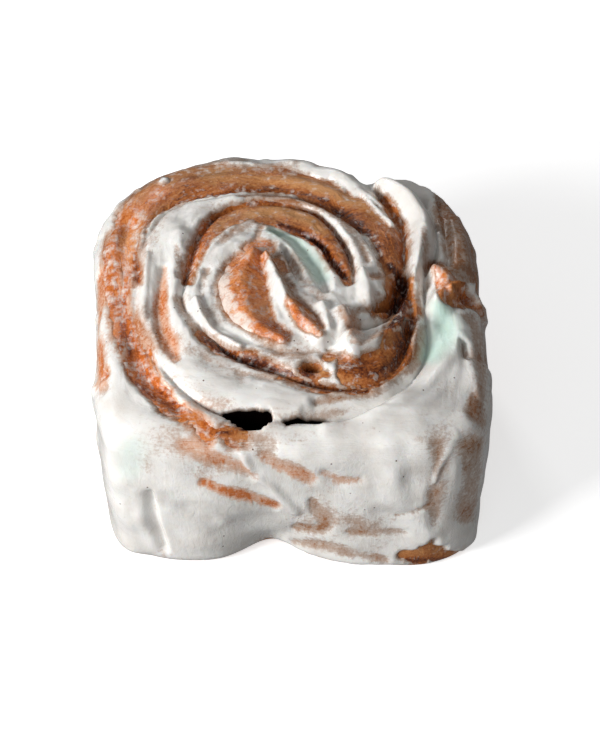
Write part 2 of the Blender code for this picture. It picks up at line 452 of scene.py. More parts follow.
@dataclass(frozen=True)
class Seam:
    """A valley between two turns of the coil.

    Each point is (angle, radius, depth, inner, outer, slit): degrees and millimetres about the pivot, the
    valley's depth, how wide it is towards the coil's heart and away from it, and the depth of the cut in it.
    """

    points: tuple[Row, ...]
    slit_width: float = 1.4

    def path(self, spacing: float) -> Array:
        """Works out the seam's path.

        Args:
            spacing: the angle between its points, in degrees.

        Returns:
            Its points, each (x, y, depth, inner, outer, slit).
        """
        angles = np.array([p[0] for p in self.points], float)
        fine = np.arange(angles[0], angles[-1], spacing)
        columns = [
            smooth_curve([(p[0], p[i]) for p in self.points], fine) for i in range(1, len(self.points[0]))
        ]
        turn = np.radians(fine)
        x = PIVOT[0] + columns[0] * np.cos(turn)
        y = PIVOT[1] + columns[0] * np.sin(turn) + 0.5 * SLANT * columns[1]
        return np.stack([x, y, *columns[1:]], axis=1)

    def valley(self, ground: Ground) -> tuple[Array, Array]:
        """Works out the valley that the seam makes.

        Args:
            ground: where to work it out.

        Returns:
            How far the seam lowers the dough, and how near each place is to it, from 0 to 1.
        """
        flat, belongs = ground.seen_on(Face.TOP)
        close = np.flatnonzero(belongs > 0.02)
        distance, numbers, side = nearest(flat[close], self.path(2.0))
        depth, inner, outer, slit = numbers.T
        width = np.where(side > 0, inner, outer)
        bowl = depth * np.clip(1 - distance / width, 0, 1) ** 2
        cut = 0.5 * slit * np.clip(1 - distance / self.slit_width, 0, 1) ** 1.5
        drop, near = np.zeros(len(flat)), np.zeros(len(flat))
        drop[close] = (bowl + cut) * belongs[close]
        near[close] = np.exp(-distance / 1.6) * np.clip(depth / 2.5, 0, 1) * belongs[close]
        return drop, near


@dataclass(frozen=True)
class Coil:
    """The coil's seams and its own lumps and hollows, which the dough shows bare or through the icing."""

    outer_seam: Seam = Seam(
        points=(
            (-352, 16, 2.0, 1.6, 2.2, 1.5), (-332, 14.8, 2.2, 1.6, 2.4, 2), (-312, 16.3, 2.4, 1.8, 2.4, 2),
            (-290, 18.2, 1.6, 2, 2.4, 1), (-265, 19, 0.5, 2, 2.2, 0), (-245, 19.5, 0.3, 2, 2, 0),
            (-207, 19.6, 0.2, 2, 2, 0), (-183, 18.8, 0.2, 2, 2, 0), (-160, 18.6, 0.2, 2, 2, 0),
            (-133, 19.1, 0.3, 2, 2, 0), (-111, 19.3, 0.5, 2, 2, 0), (-82, 21.2, 0.6, 2, 2, 0),
            (-61, 22.8, 0.8, 2, 2.5, 0.2), (-43, 23.3, 1.6, 2, 2.5, 1),
            (-29.5, 26.2, 2.4, 2.2, 2.2, 1.2), (-16, 28.8, 2.4, 2.4, 2.2, 1.2), (-2, 29, 1.8, 2.4, 2, 0.8),
            (10.7, 27, 1.6, 2.4, 3, 0.5),
            (27, 26.4, 1.4, 2.2, 4, 0.5), (43.5, 27.6, 1.8, 2, 5, 1), (59, 29.2, 2, 2, 6, 0.8),
            (73, 30.8, 2.4, 2, 7, 1), (93.5, 33.1, 2.6, 2, 8, 1), (115.5, 34.9, 2.6, 2, 8, 0.8),
            (134, 38.9, 2.4, 2.2, 6, 1), (152.7, 37.1, 1.4, 2.5, 5, 0), (173.4, 34.7, 1.2, 3, 5, 0),
            (196, 35.4, 1.2, 3, 4.5, 0), (222.8, 36.8, 1.4, 3, 3.5, 0), (246, 39.4, 1.8, 3, 3, 0.4),
            (262, 39.2, 2.2, 3, 2.6, 0.6), (279, 39.5, 2.2, 3, 2.6, 0.6), (291.5, 40.9, 2.6, 3, 3, 0.6),
            (311.6, 41.6, 2.6, 3.2, 3, 0.6), (322.9, 41, 2.6, 3.2, 3, 0.6), (335.7, 38.9, 2.4, 3, 3, 0.6),
            (347, 36.4, 2.4, 2.6, 3, 0.6), (358.4, 35.4, 2.4, 2.4, 2.6, 0.8), (369.3, 37, 2.6, 2.6, 2.6, 1),
            (379.5, 41.5, 2.8, 3, 2.6, 1.2), (391, 46, 2.6, 3, 2.6, 1.2), (400.5, 48.8, 2, 3, 2.5, 0.8),
        )
    )
    inner_seam: Seam = Seam(
        points=(
            (2, 18.2, 1.2, 1.5, 2, 0.6), (27, 19.7, 2, 1.6, 2.2, 1.4), (47, 22, 2.2, 1.8, 2.2, 1.6),
            (61, 25, 2.2, 2, 2, 1.6), (73, 27.2, 2, 2.2, 2, 1.6), (94, 29, 1.7, 2.2, 2, 1.2),
            (121, 29.2, 1.7, 2, 2, 1.5), (135, 26.9, 1.4, 2, 2, 1), (152, 23.7, 1.2, 2, 2, 0.8),
            (175, 22.6, 1.2, 1.8, 2, 0.8), (192, 23.6, 1.2, 1.8, 2, 0.8), (209, 22.8, 0.8, 2, 2, 0),
            (225, 22.6, 1.1, 2, 2.2, 0.6), (243, 24.1, 1.7, 2, 2.2, 1.6), (256, 24.7, 1.7, 2, 2.4, 1.6),
            (270, 26, 1.4, 2, 2.4, 1), (278, 28.3, 1.3, 2.2, 2.4, 0.8), (285, 30.6, 1.8, 3, 2.4, 1.2),
            (292, 33, 2, 4, 2.2, 1.2), (301, 35.6, 2.2, 4, 2.2, 1.2), (309, 37, 2, 4, 2, 1),
            (317, 37, 1.8, 3.5, 2, 0.8), (326, 36, 1.8, 3, 2, 0.8), (337, 34, 2, 2.4, 2, 1),
            (346, 32.8, 1.8, 2, 2, 0.6), (358, 31.4, 1.8, 2.2, 2, 0.6), (367, 31.3, 2, 3, 2, 0.8),
            (381, 33.2, 2.2, 3.5, 2, 1), (391.5, 36.4, 2.2, 3.5, 2, 1), (402, 39, 2.2, 3, 2, 1.2),
            (412, 42, 2, 2.6, 2, 1), (419, 44.5, 1.6, 2.5, 2, 0.8),
        )
    )
    relief: tuple[Brush, ...] = (
        # The heart of the coil: a low lobe, a ridge beside it and a deep channel round them.
        Brush(((-9, 7, 2.6), (-11.5, 1, 5), (-12.5, -5, 6.8), (-11.5, -11, 6.6), (-7.5, -17.5, 4.6),
               (-2, -21, 2.4)), 2.2),
        Brush(((-6, 6, 1.8), (-3, -3, 2.6), (0, -10, 3), (3, -15, 3.4), (7, -20, 2.6)), 2.8),
        Brush(((-4, 13.5, 2), (0, 10.5, 3), (4, 5, 3.6), (7, -2, 3.4), (8.5, -7.5, 2.2)), -2.6),
        Brush(((-1.5, 6, 1.3), (0.2, 2, 1.6), (1.6, -2, 1.8), (2.2, -4.4, 1.3)), -3.0),
        # Blobs and a fold to the right of the heart, and the pits between the turns beside them.
        Brush(((7.5, -11, 2.6), (8.5, -15, 2.8), (9, -18.5, 2.2)), 1.8),
        Brush(((12.4, -12.4, 3.4), (13.6, -16.5, 4.2), (14, -21, 4)), 3.0),
        Brush(((17.5, 1, 2), (18.6, -3, 3.2), (18.5, -8, 3)), 2.2),
        Brush(((21, -2.8, 2.4), (21.8, -6.5, 2.2)), 1.4),
        Brush(((28.6, -12, 1.4), (25, -16, 2.2), (20.5, -20.5, 3), (14.5, -25, 2.6)), 2.2),
        Brush(((20.6, -14, 1.4), (23.6, -12, 2.2), (26.4, -7.2, 2.8), (27, -1.6, 2.4)), -4.6),
        Brush(((4.4, -30.6, 2.2), (6.2, -30.7, 2.2)), -3.2),
        # The long soft hollow outside the front turn.
        Brush(((6, -39, 2.6), (13, -37.6, 3.4), (20, -35.4, 3.4), (26, -30.4, 3.2)), -1.0),
        Brush(((4, -42.6, 2.6), (12, -41.4, 3.6), (19, -38.4, 4.4), (25, -34.4, 5.4), (30.6, -28, 5.8),
               (34.6, -20.6, 5.6), (35.8, -14, 4.4)), -2.2),
        # The end of the strip at the back right, and the torn peak of the rim in front of it.
        Brush(((29.6, -1, 2.4), (31, 5, 3.4), (32, 10, 4), (33.2, 15, 4.4), (33.4, 20, 4.4), (31.4, 26, 4.2),
               (28, 31, 4), (24.4, 34, 2.8), (21.6, 35, 1.5)), 3.2),
        Brush(((35.4, 23.4, 1.8), (37.2, 21.8, 1.1), (38, 21.2, 0.5)), 1.6),
        Brush(((34.6, 3.6, 2.6), (37, 2.6, 4.2), (38, -0.8, 4.6), (35.6, -6, 4)), 5.0),
        Brush(((38.8, -4.4, 1.5), (40.6, -2, 1.7), (42.6, -0.2, 1.4)), 3.0),
        Brush(((43, -1, 1.5), (45, -4.4, 1.8), (46.4, -8, 1.6)), 1.4),
        Brush(((39.6, -6.6, 1.9), (42.6, -5.8, 1.9)), -1.8),
        Brush(((38.6, 30, 1.8), (39, 20, 1.8), (39, 12, 2), (39, 5, 1.6)), -2.2),
        Brush(((42, 26, 2), (43, 16, 2.4), (43.4, 8, 2)), 0.8),
        Brush(((40.9, -20.6, 1.5), (41.3, -24.6, 1.5)), -1.8),
        # A soft fold down the front's left, and the dents beside its middle.
        Brush(((-32.6, 30, 1.8), (-32.4, 20, 2.3), (-30.4, 8, 2)), -1.2, Face.FRONT),
        Brush(((-24, 24, 5), (-19, 20, 4)), -0.9, Face.FRONT),
        Brush(((22, 22, 6), (27, 14, 5)), -0.9, Face.FRONT),
        # Soft highs and lows of the turns on the left.
        Brush(((-41, 20, 4), (-41.5, 5, 3.5), (-41, -10, 3.2), (-37.5, -22, 3.4), (-33, -32, 3.2),
               (-26, -40, 2.6)), -1.1),
        Brush(((-31.5, 2, 2), (-31.8, -8, 2.4), (-30, -18, 2.6), (-27, -25, 2.2)), -0.8),
        Brush(((-27, 14, 3.2), (-27.8, 4, 2.2)), 0.9),
        Brush(((-22.8, -8, 1.3), (-21, -14, 1.4), (-17.4, -19.6, 1.3), (-12, -23, 1.4)), 1.2),
        Brush(((-35.5, 8, 1.6), (-35.6, -4, 1.8), (-35, -12, 1.4)), 0.8),
    )
    openings: tuple[Brush, ...] = (
        # Deep gaps between the front turn and the one outside it, painted black in their depths as shade.
        Brush(((-15.2, -40.6, 1), (-12.6, -41.4, 2.2), (-9.4, -42.3, 3), (-6.8, -42, 2.7),
               (-5.6, -41.4, 1.6)), 1.0, fade=0.6),
        Brush(((-0.8, -42.6, 1.3), (3, -42.1, 1.6), (6.8, -41.7, 1.6), (8.6, -41.7, 1.3)), 1.0, fade=0.8),
    )
    opening_depth: float = 5.5

    def height(self, ground: Ground) -> tuple[Array, Array, Array]:
        """Works out the dough's surface.

        Args:
            ground: where to work it out.

        Returns:
            The dough's height over the smooth body, and how near each place is to a seam and how far it is
            into an opening, both from 0 to 1.
        """
        outer_drop, outer_near = self.outer_seam.valley(ground)
        inner_drop, inner_near = self.inner_seam.valley(ground)
        rise = ground.paint([brush.raised() for brush in self.relief]) - np.maximum(outer_drop, inner_drop)
        rise += (0.4 * ground.streaks(3.2, 11) + 0.2 * ground.streaks(1.3, 12)) * (1 - ground.wall)
        rise += 0.5 * ground.noise(9.0, 13)
        gap = np.clip(ground.paint(self.openings), 0, 1)
        return rise - self.opening_depth * gap, np.maximum(outer_near, inner_near), gap


@dataclass(frozen=True)
class IcingCover:
    """Where the icing lies, how thick it is, and where it is stained. Millimetres.

    It is full thick, rises to that over about edge from where it ends, and lies sunk under bare dough. A film
    takes away film_limit of the thickness at most, and shows film_stain of the dough's colour. Its edges are
    calm within the first reach of the pivot, where the streaks crowd together, and ragged past the second.
    """

    full: float = 1.7
    thinnest: float = 0.12
    sunk: float = 0.9
    edge: float = 2.3
    film_limit: float = 0.62
    film_stain: float = 0.85
    calm_reach: tuple[float, float] = (12.0, 32.0)
    bare: tuple[Brush, ...] = (
        # The browner strip: round the heart ...
        Brush(((13.9, -4, 0.9), (12.9, 0, 1.8), (11.2, 5, 2.8), (9, 10, 3.4), (5.4, 15, 4.4), (0.4, 19, 5),
               (-5, 21, 4.2), (-10, 21.4, 3.4), (-16, 18.6, 3), (-20, 14, 2.5), (-22.4, 8.6, 1.9),
               (-23.9, 3, 1.4), (-24.8, -3, 0.8)), 1.0),
        # ... under the front turn and up the right ...
        Brush(((-21.5, -19.5, 0.6), (-19.4, -22, 0.8), (-16.4, -25, 1), (-13, -26.6, 1.2), (-9.6, -27.4, 1.9),
               (-6.6, -28.6, 1.6), (-3.6, -30.2, 0.9), (-0.6, -31.4, 0.8)), 1.0),
        Brush(((-2, -31.5, 0.5), (3, -33.8, 0.7), (8, -35.2, 0.7), (13, -36, 0.8), (17.5, -36.2, 0.5)), 0.9),
        Brush(((3.6, -30.9, 1.5), (6.2, -31, 2), (8, -31.4, 0.9)), 1.0),
        Brush(((12.7, -28, 1.5), (12.8, -33.4, 1.6)), 1.0),
        Brush(((14.5, -31, 3.4), (17, -31, 4.5), (20.4, -29.4, 4.6), (24, -26, 3.6), (25.4, -21, 2.9),
               (26.9, -16, 2.2), (28.8, -11.5, 2), (27.4, -8.6, 2.6), (26.4, -5, 2.8), (25.8, -1, 2.5),
               (24.8, 4, 3.1), (24.4, 9, 3.7), (23.2, 13.6, 4.2), (19.6, 18.4, 4.6), (14.6, 24, 5),
               (8.4, 28.6, 5)), 1.0),
        Brush(((21.4, 33, 0.5), (23, 29, 0.9), (25, 24.6, 1.2), (26.4, 20, 1.5), (27.2, 15.6, 1.2),
               (26.8, 11, 1.4)), 1.0),
        # ... then across the back, down the left again and out at the front.
        Brush(((8.4, 28.6, 5), (3, 32.4, 5), (-3, 34.6, 5.4), (-10, 34.8, 5.4), (-20, 35.2, 6.4),
               (-29, 33.2, 6.6), (-35.6, 27.6, 5.4), (-39.8, 20, 4.5), (-41, 13, 4.4), (-41.8, 6, 3.6),
               (-42.3, 0, 3), (-42.1, -5, 2.3)), 1.0),
        Brush(((-42.1, -5, 2.3), (-41.5, -10, 2.2), (-39.8, -15, 2.6), (-38.3, -20, 2.5), (-36.6, -25, 3),
               (-34.6, -30, 3.1), (-31.2, -35, 2.3), (-28.6, -38.6, 2.1), (-25, -41.4, 1.9),
               (-21.3, -43.7, 1.7), (-18.3, -46.2, 1)), 1.0),
        Brush(((-15.6, -45.4, 0.9), (-13.5, -46.7, 1.5), (-10.6, -47.2, 0.8)), 1.0),
        Brush(((-38.6, 8.4, 0.8), (-37.8, 3, 1.1), (-37.2, -1.4, 0.8)), 1.0),
        # The heart's glazed lobe and the smears beside it.
        Brush(((-9.8, 7.4, 1.7), (-7.8, 8.2, 1.7), (-5.6, 7.4, 1.7), (-5, 5.8, 0.9)), 1.0),
        Brush(((-8, 4.6, 2.4), (-10.6, 1.4, 4.2), (-11.4, -4, 5.6), (-11, -9, 5.6), (-9.2, -14, 4.8),
               (-6, -18, 3), (-2, -21, 1.5)), 1.0),
        Brush(((-3.6, 3.6, 0.7), (-1.6, 0, 0.8)), 0.8),
        Brush(((0.5, -10.5, 1.2), (2.4, -14.5, 2.2), (4.8, -18, 2.1), (6.8, -20, 1.1)), 1.0),
        Brush(((9, -26.8, 0.9),), 0.8),
        Brush(((21.4, -12.8, 1.2), (24.4, -10.4, 2.3), (27, -6, 2.8), (28, -1.4, 2)), 1.0),
        # A bare spot on the outer left edge.
        Brush(((-45.2, -22, 1), (-43.7, -28, 1)), 1.0),
        # The torn peak and the outer right edge.
        Brush(((35.8, 3.8, 2), (37.2, 2, 2.6), (37.8, -1.6, 2.2), (37.6, -6, 1)), 1.0),
        Brush(((38.8, -6.6, 0.9), (40.6, -5.8, 1.7), (42.8, -5.6, 1.7), (44.6, -7, 1)), 1.0),
        Brush(((31.6, 37.8, 1), (34, 37, 1.7), (36.4, 35.4, 1.2)), 1.0),
        Brush(((45.4, 24, 0.7), (46.9, 17, 1.3), (47.8, 9, 1.6), (47.8, 1, 1.6), (47, -5, 1.1)), 1.0),
        # The front: an orange smear, and the torn dough at the foot.
        Brush(((28, 5.6, 1.6), (31, 5, 3), (34, 6.6, 3), (36.5, 4.6, 2.2), (40.5, 5, 1.2)), 1.0, Face.FRONT),
        Brush(((33, 8.6, 1.4), (33.6, 11, 0.9)), 1.0, Face.FRONT),
    )
    islands: tuple[Brush, ...] = (
        # Icing lying on the browner strip.
        Brush(((-33.4, 38, 1.1), (-32.6, 35.6, 1.3)), 1.0),
        Brush(((-41.8, 5, 0.4), (-41.5, 0, 0.5), (-41.6, -4, 0.4)), 1.0),
        Brush(((-36.6, 19, 0.4), (-36.9, 14, 0.5), (-36.3, 11, 0.4)), 0.8),
        Brush(((-40.4, -19, 0.4), (-38.9, -24, 0.4), (-37.4, -28.6, 0.4)), 0.7),
        Brush(((-26.8, -41.8, 0.4), (-23.6, -43.4, 0.4)), 0.8),
        Brush(((16.4, 32.6, 1), (18.6, 28.6, 1.3), (20.6, 25, 1.3), (23, 21.2, 1.1), (25.2, 17, 0.7)), 1.0),
        Brush(((-24, 42, 1.4), (-16, 42.4, 1.4), (-12, 40.6, 1)), 0.5),
    )
    film: tuple[Brush, ...] = (
        # Thin, see-through icing over the dough.
        Brush(((-28, 9, 1.4), (-27.4, 4, 2), (-27, -1, 1.6)), 0.85),
        Brush(((-13, 27.4, 1.2), (-7, 27.8, 1.6), (-1, 27, 1.8), (5, 24.6, 2), (10, 20.6, 2), (14, 15.4, 2),
               (17.2, 9.6, 2), (18.8, 4, 1.6)), 0.62),
        Brush(((-27.4, -8, 1.8), (-25, -14.6, 2), (-21.4, -20, 1.7), (-16.4, -24, 1.4)), 0.9),
        Brush(((-12, -31.4, 1.6), (-5, -32.8, 1.8), (2, -35.4, 1.4)), 0.6),
        Brush(((-38, 36.6, 2.8), (-31, 40.6, 3), (-21, 44.6, 4), (-12, 44.4, 3)), 0.85),
        Brush(((-4, 40, 2.6), (1, 41, 2.6)), 0.85),
        Brush(((7, 40.4, 2.4), (14, 39.6, 2.2)), 0.55),
        Brush(((-42, 27, 1.6), (-40.4, 33, 2)), 0.9),
        Brush(((-45.6, 18, 1.6), (-45.6, 11, 1.8), (-45.6, 4, 1.2)), 0.8),
        Brush(((-8.4, 11, 1.2), (-7.4, 15, 1.5)), 0.85),
        Brush(((-13, 3.6, 3), (-15.6, -2, 4.4), (-16, -8, 4.6), (-14.4, -14, 4.4), (-10.4, -18.4, 3.4),
               (-4, -22, 2.6)), 1.25),
        Brush(((-3, 4, 1.4), (-2, -2, 1.8), (0, -8, 2), (-1, -12, 1.2)), 0.85),
        Brush(((13, -13, 2.6), (14.6, -17, 3.2), (15, -21.6, 3)), 0.95),
        Brush(((21, -7, 1.6), (20, -11, 2), (15.4, -13.4, 1.6)), 0.7),
        Brush(((27, -14, 1.4), (22.4, -18.6, 1.6), (16.6, -22.6, 1.8)), 0.6),
        Brush(((38.6, 33, 3.4), (40.6, 27, 5.2), (41.8, 19, 6.2), (42.6, 10, 6.2),
               (42.8, 3, 4)), 1.1, fade=0.5),
        # Faint rubs over the white turns.
        Brush(((-27, -20, 3), (-20, -28, 3.6), (-12, -33.4, 3)), 0.5),
        Brush(((-33.4, 12, 3), (-32, 20, 3), (-28, 24, 2.4)), 0.42),
        Brush(((-20.6, 0, 2), (-21.4, -9, 2), (-17.6, -17, 2)), 0.42),
        Brush(((-17, 10, 2.4), (-13, 14.4, 2.6), (-9, 17, 2)), 0.5),
        Brush(((6, -26, 2.4), (0, -26.4, 2.4), (-6, -24, 2)), 0.4),
        # Thin icing on the end of the strip, the right edge and the hollow outside the front turn; the grey
        # veil in that hollow is partly painted shade.
        Brush(((21, 36.6, 1.4), (28, 37.6, 1.6)), 0.8),
        Brush(((33, 16, 1.6), (33, 11, 2), (32.6, 6, 1.6)), 0.55),
        Brush(((19.8, -1.8, 1.8), (21.6, -1.2, 1.9)), 1.05),
        Brush(((41, -21, 1.2), (41.4, -24.6, 1.2)), 0.9),
        Brush(((42.6, -11, 3), (44.2, -20, 3), (43.6, -31, 3), (42.4, -40, 3.4)), 0.85),
        Brush(((6, -39.4, 1.6), (12, -38, 2.6), (20, -36.4, 3), (26, -31.4, 3.4), (29.6, -25, 3),
               (31, -17, 2.2)), 0.9),
        Brush(((6, -29, 1.6), (9.4, -33, 1.4)), 0.4),
        # Rubs on the turns and the outer edge at the left.
        Brush(((-30.8, 2, 1.6), (-30.8, -4, 2.5), (-31.1, -10, 2.5), (-30.4, -16, 2.6), (-29, -22, 3.2),
               (-26.8, -26.6, 2.4)), 0.98),
        Brush(((-36.7, -14, 1.4), (-35, -18, 1.8), (-33, -23, 1.6)), 1.0),
        Brush(((-46.8, 5, 1.8), (-46.8, -3, 2.4), (-47.4, -12, 2.4), (-46, -20, 2.8), (-44.4, -27, 3.2),
               (-43.2, -33, 2)), 1.0),
        Brush(((-45.4, 31, 1.6), (-44.9, 34, 1.8)), 1.1),
        # Smears down the front wall.
        Brush(((-10, -46.6, 2), (-4, -48.4, 2)), 0.4),
        Brush(((-24, 46, 4), (-18, 42.6, 4.4), (-12, 39, 4), (-9, 37, 3)), 0.88, Face.FRONT),
        Brush(((-20, 33.8, 2), (-15, 31, 2.8), (-9, 28, 3.2), (-4, 25.2, 2.4)), 1.35, Face.FRONT),
        Brush(((-6, 43.4, 2.6), (-4, 41, 3.4), (0, 39.2, 4), (4, 35.4, 3.4)), 0.9, Face.FRONT),
        Brush(((8, 37.6, 2.6), (11.6, 34.8, 3), (15.4, 35, 2.2)), 0.92, Face.FRONT),
        Brush(((5, 27, 1.6), (6, 23, 2.6), (8.6, 19.6, 3), (7, 16, 3), (1.6, 16.4, 2.2)), 0.88, Face.FRONT),
        Brush(((1, 10.4, 2.4), (8, 9, 3.6), (15, 6.8, 3.6), (22, 4, 2.8)), 0.95, Face.FRONT),
        Brush(((14, 15.4, 1.8), (20, 15, 2.4), (27, 14.6, 1.8)), 0.7, Face.FRONT),
        Brush(((3, 20, 10), (14, 17, 9), (22, 12, 8)), 0.3, Face.FRONT),
        Brush(((33, 47, 3), (34.4, 38, 3.6), (33.4, 28, 3.6), (34, 18, 3)), 0.6, Face.FRONT),
        Brush(((42, 46, 5), (42.6, 34, 5), (42, 20, 4.6)), 0.85, Face.FRONT),
        Brush(((-32.3, 27, 1.2), (-32, 18, 1.4), (-31.2, 9, 1.2)), 0.22, Face.FRONT),
        # Broad thin patches on the other walls.
        Brush(((-30, 36, 12), (-10, 38, 15), (10, 40, 15), (30, 38, 13)), 0.9, Face.RIGHT),
        Brush(((-34, 24, 7), (-22, 14, 8)), 0.5, Face.RIGHT),
        Brush(((-20, 30, 10), (20, 30, 11)), 0.55, Face.LEFT),
        Brush(((-30, 34, 9), (0, 34, 10), (30, 34, 9)), 0.6, Face.BACK),
    )
    mint: tuple[Brush, ...] = (
        # Painted shade: a pale green cast in the icing's deep hollows, and faintly high on the front's left.
        Brush(((-4.6, 13.4, 2.6), (0.6, 10, 3.6), (4.4, 4.4, 4), (7.4, -3, 3.8)), 0.85),
        Brush(((36, -9.6, 4.4), (37, -15, 6.4), (35.4, -21, 6), (33, -26, 4)), 0.95),
        Brush(((-36, 46, 6), (-37, 38, 5)), 0.35, Face.FRONT),
    )
    build: tuple[Brush, ...] = (
        # Thick icing: the ridge behind the browner strip, the front turn, runs and folds on the walls.
        Brush(((-6, 44.4, 3), (3, 41.4, 3), (9, 39, 3), (13, 36, 2.8), (16.2, 32.8, 2.5), (18.6, 28.8, 2.3),
               (21, 25, 2), (23.4, 20.8, 1.6), (25.4, 16.8, 0.9)), 1.9),
        Brush(((8, -45.4, 2.4), (16, -43.8, 2.8), (22.6, -40, 3), (29.4, -34, 3.2), (34.6, -28.4, 3.2),
               (38.6, -22.4, 2.8), (40.4, -17.4, 2)), 1.1),
        Brush(((-44, 34, 2), (-44, 27, 2.4), (-48, 20, 2.4)), 1.2),
        Brush(((-30, 16, 4.5), (-29, 5, 3), (-28, -8, 2.6), (-24, -22, 3)), 0.8),
        Brush(((-22, -30, 4.5), (-12, -35.5, 5), (0, -38, 4.6), (12, -38.6, 3.6), (22, -34.5, 3)), 1.2),
        Brush(((31, -3, 2.8), (32.4, 8, 4), (33.4, 17, 4.6), (30.6, 27, 4.6), (24.6, 33.5, 3.8)), 1.2),
        Brush(((-11, 47, 1.4), (-10, 41, 1.6), (-8, 36, 1.7), (-5, 33, 1.8), (-2, 28, 2),
               (1, 23, 2.2)), 1.3, Face.FRONT),
        Brush(((-38, 34, 6), (-38, 18, 6), (-36, 8, 5)), 1.2, Face.FRONT),
        Brush(((-35.4, 31, 1.8), (-35, 20, 2.2), (-33, 8, 2)), 0.6, Face.FRONT),
        Brush(((-22, 22, 9), (-20, 12, 8)), 1.4, Face.FRONT),
        Brush(((-12, 14, 6), (-3, 18, 5)), 1.0, Face.FRONT),
        Brush(((22, 47, 5), (23, 36, 5), (24, 26, 5)), 1.9, Face.FRONT),
        Brush(((25, 21.4, 1.2), (28, 23, 1.4), (32, 25.2, 1.2)), -0.9, Face.FRONT),
        Brush(((33, 34, 1), (35, 42, 1.2), (38, 50, 1.2)), 0.9, Face.FRONT),
        Brush(((36, 14, 7), (44, 12, 5)), 1.2, Face.FRONT),
        Brush(((8, 25, 4), (14, 20, 5), (20, 18, 4)), -0.7, Face.FRONT),
        Brush(((3, 44, 5), (12, 42, 5)), 0.7, Face.FRONT),
        Brush(((41, -19, 1), (42.3, -27, 1.3), (43.6, -35, 1)), 0.9),
        Brush(((-25, 45, 3), (-26, 30, 3.4), (-24, 16, 3)), 1.3, Face.RIGHT),
        Brush(((-5, 45, 3), (-3, 32, 3.6), (-4, 20, 3)), 1.2, Face.RIGHT),
        Brush(((16, 45, 3), (18, 36, 3.4), (17, 26, 3)), 1.2, Face.RIGHT),
        Brush(((-28, 42, 3), (-27, 28, 3.6), (-28, 12, 3)), 1.3, Face.LEFT),
        Brush(((-6, 42, 3), (-8, 28, 3.6), (-7, 16, 3)), 1.2, Face.LEFT),
        Brush(((18, 42, 3), (17, 32, 3.4), (18, 22, 3)), 1.2, Face.LEFT),
        Brush(((-22, 42, 3), (-21, 34, 3.4), (-22, 27, 3)), 1.4, Face.BACK),
        Brush(((8, 42, 3), (7, 36, 3.4), (8, 30, 3)), 1.2, Face.BACK),
    )
    hem: tuple[Row, ...] = (
        (0, 9), (20, 15), (34, 24), (48, 21), (60, 30), (75, 23), (90, 29), (106, 22), (120, 30), (136, 20),
        (150, 22), (165, 11), (180, 12), (195, 3), (208, 0), (230, -1), (255, -0.5), (268, 1), (285, 1),
        (300, 0), (330, 0), (345, 3),
    )

    def bareness(self, ground: Ground, gap: Array) -> Array:
        """Works out where the dough is bare: in the bare strokes, in the openings and below the hem.

        Args:
            ground: where to work it out.
            gap: how far each place is into an opening, from 0 to 1.

        Returns:
            How far each place is inside a bare patch, in millimetres, negative under the icing.
        """
        wall = ground.wall
        inside = np.minimum(ground.inside(self.bare), -ground.inside(self.islands))
        loose = 0.7 * ground.noise(2.6, 33) + 0.4 * ground.noise(1.2, 34)
        ragged = 1.1 * ground.streaks(2.6, 21) + 0.7 * ground.streaks(1.1, 22) + 0.4 * ground.noise(1.2, 23)
        reach = np.hypot(ground.place[:, 0] - PIVOT[0], ground.place[:, 1] - PIVOT[1])
        calm = 0.3 + 0.7 * smooth_step(*self.calm_reach, reach)
        inside = np.maximum(inside + ragged * calm * (1 - wall) + loose * wall, 6.0 * gap - 1.5)
        hem = smooth_curve(self.hem, ground.angle, 360.0)
        hem_depth = hem - ground.place[:, 2] + 0.8 * ground.noise(3.0, 24) + 0.8 * ground.streaks(2.6, 25)
        return np.maximum(inside, np.where(wall > 0.5, hem_depth, -6.0))

    def filminess(self, ground: Ground) -> Array:
        """Works out where the icing is only a film, with a mottled, torn look of its own.

        Args:
            ground: where to work it out.

        Returns:
            How much of a film it is at each place, from 0 to 1.3.
        """
        wall = ground.wall
        mottle = 0.5 * ground.noise(5.0, 31) + 0.5 * ground.streaks(4.0, 32) + 0.3 * ground.streaks(1.8, 26)
        torn = (0.6 * ground.noise(3.4, 35) + 0.5 * ground.noise(1.7, 36)) * (1 - 0.4 * wall)
        worn = 0.45 * np.clip(mottle - 0.1, 0, 1) * (1 - 0.8 * wall)
        film = np.clip(ground.paint(self.film), 0, 1.2)
        return np.clip(film * (1 + 0.35 * mottle + 0.55 * torn) + worn, 0, 1.3)

    def body(self, ground: Ground, film: Array, near_seam: Array) -> Array:
        """Works out how thick the icing is away from its edges.

        Args:
            ground: where to work it out.
            film: how much of a film it is at each place.
            near_seam: how near each place is to a seam, from 0 to 1.

        Returns:
            The thickness in millimetres.
        """
        heaped = ground.paint(self.build) * (1 - 0.6 * np.clip(film - 0.5, 0, 1))
        body = self.full * (1 - np.minimum(film, self.film_limit)) + heaped
        body += 0.5 * ground.noise(11.0, 27) + 0.22 * ground.noise(4.5, 28)
        body += 0.1 * ground.streaks(1.8, 29) * (1 - ground.wall)
        return np.maximum(body, self.thinnest) * (1 - 0.3 * near_seam)

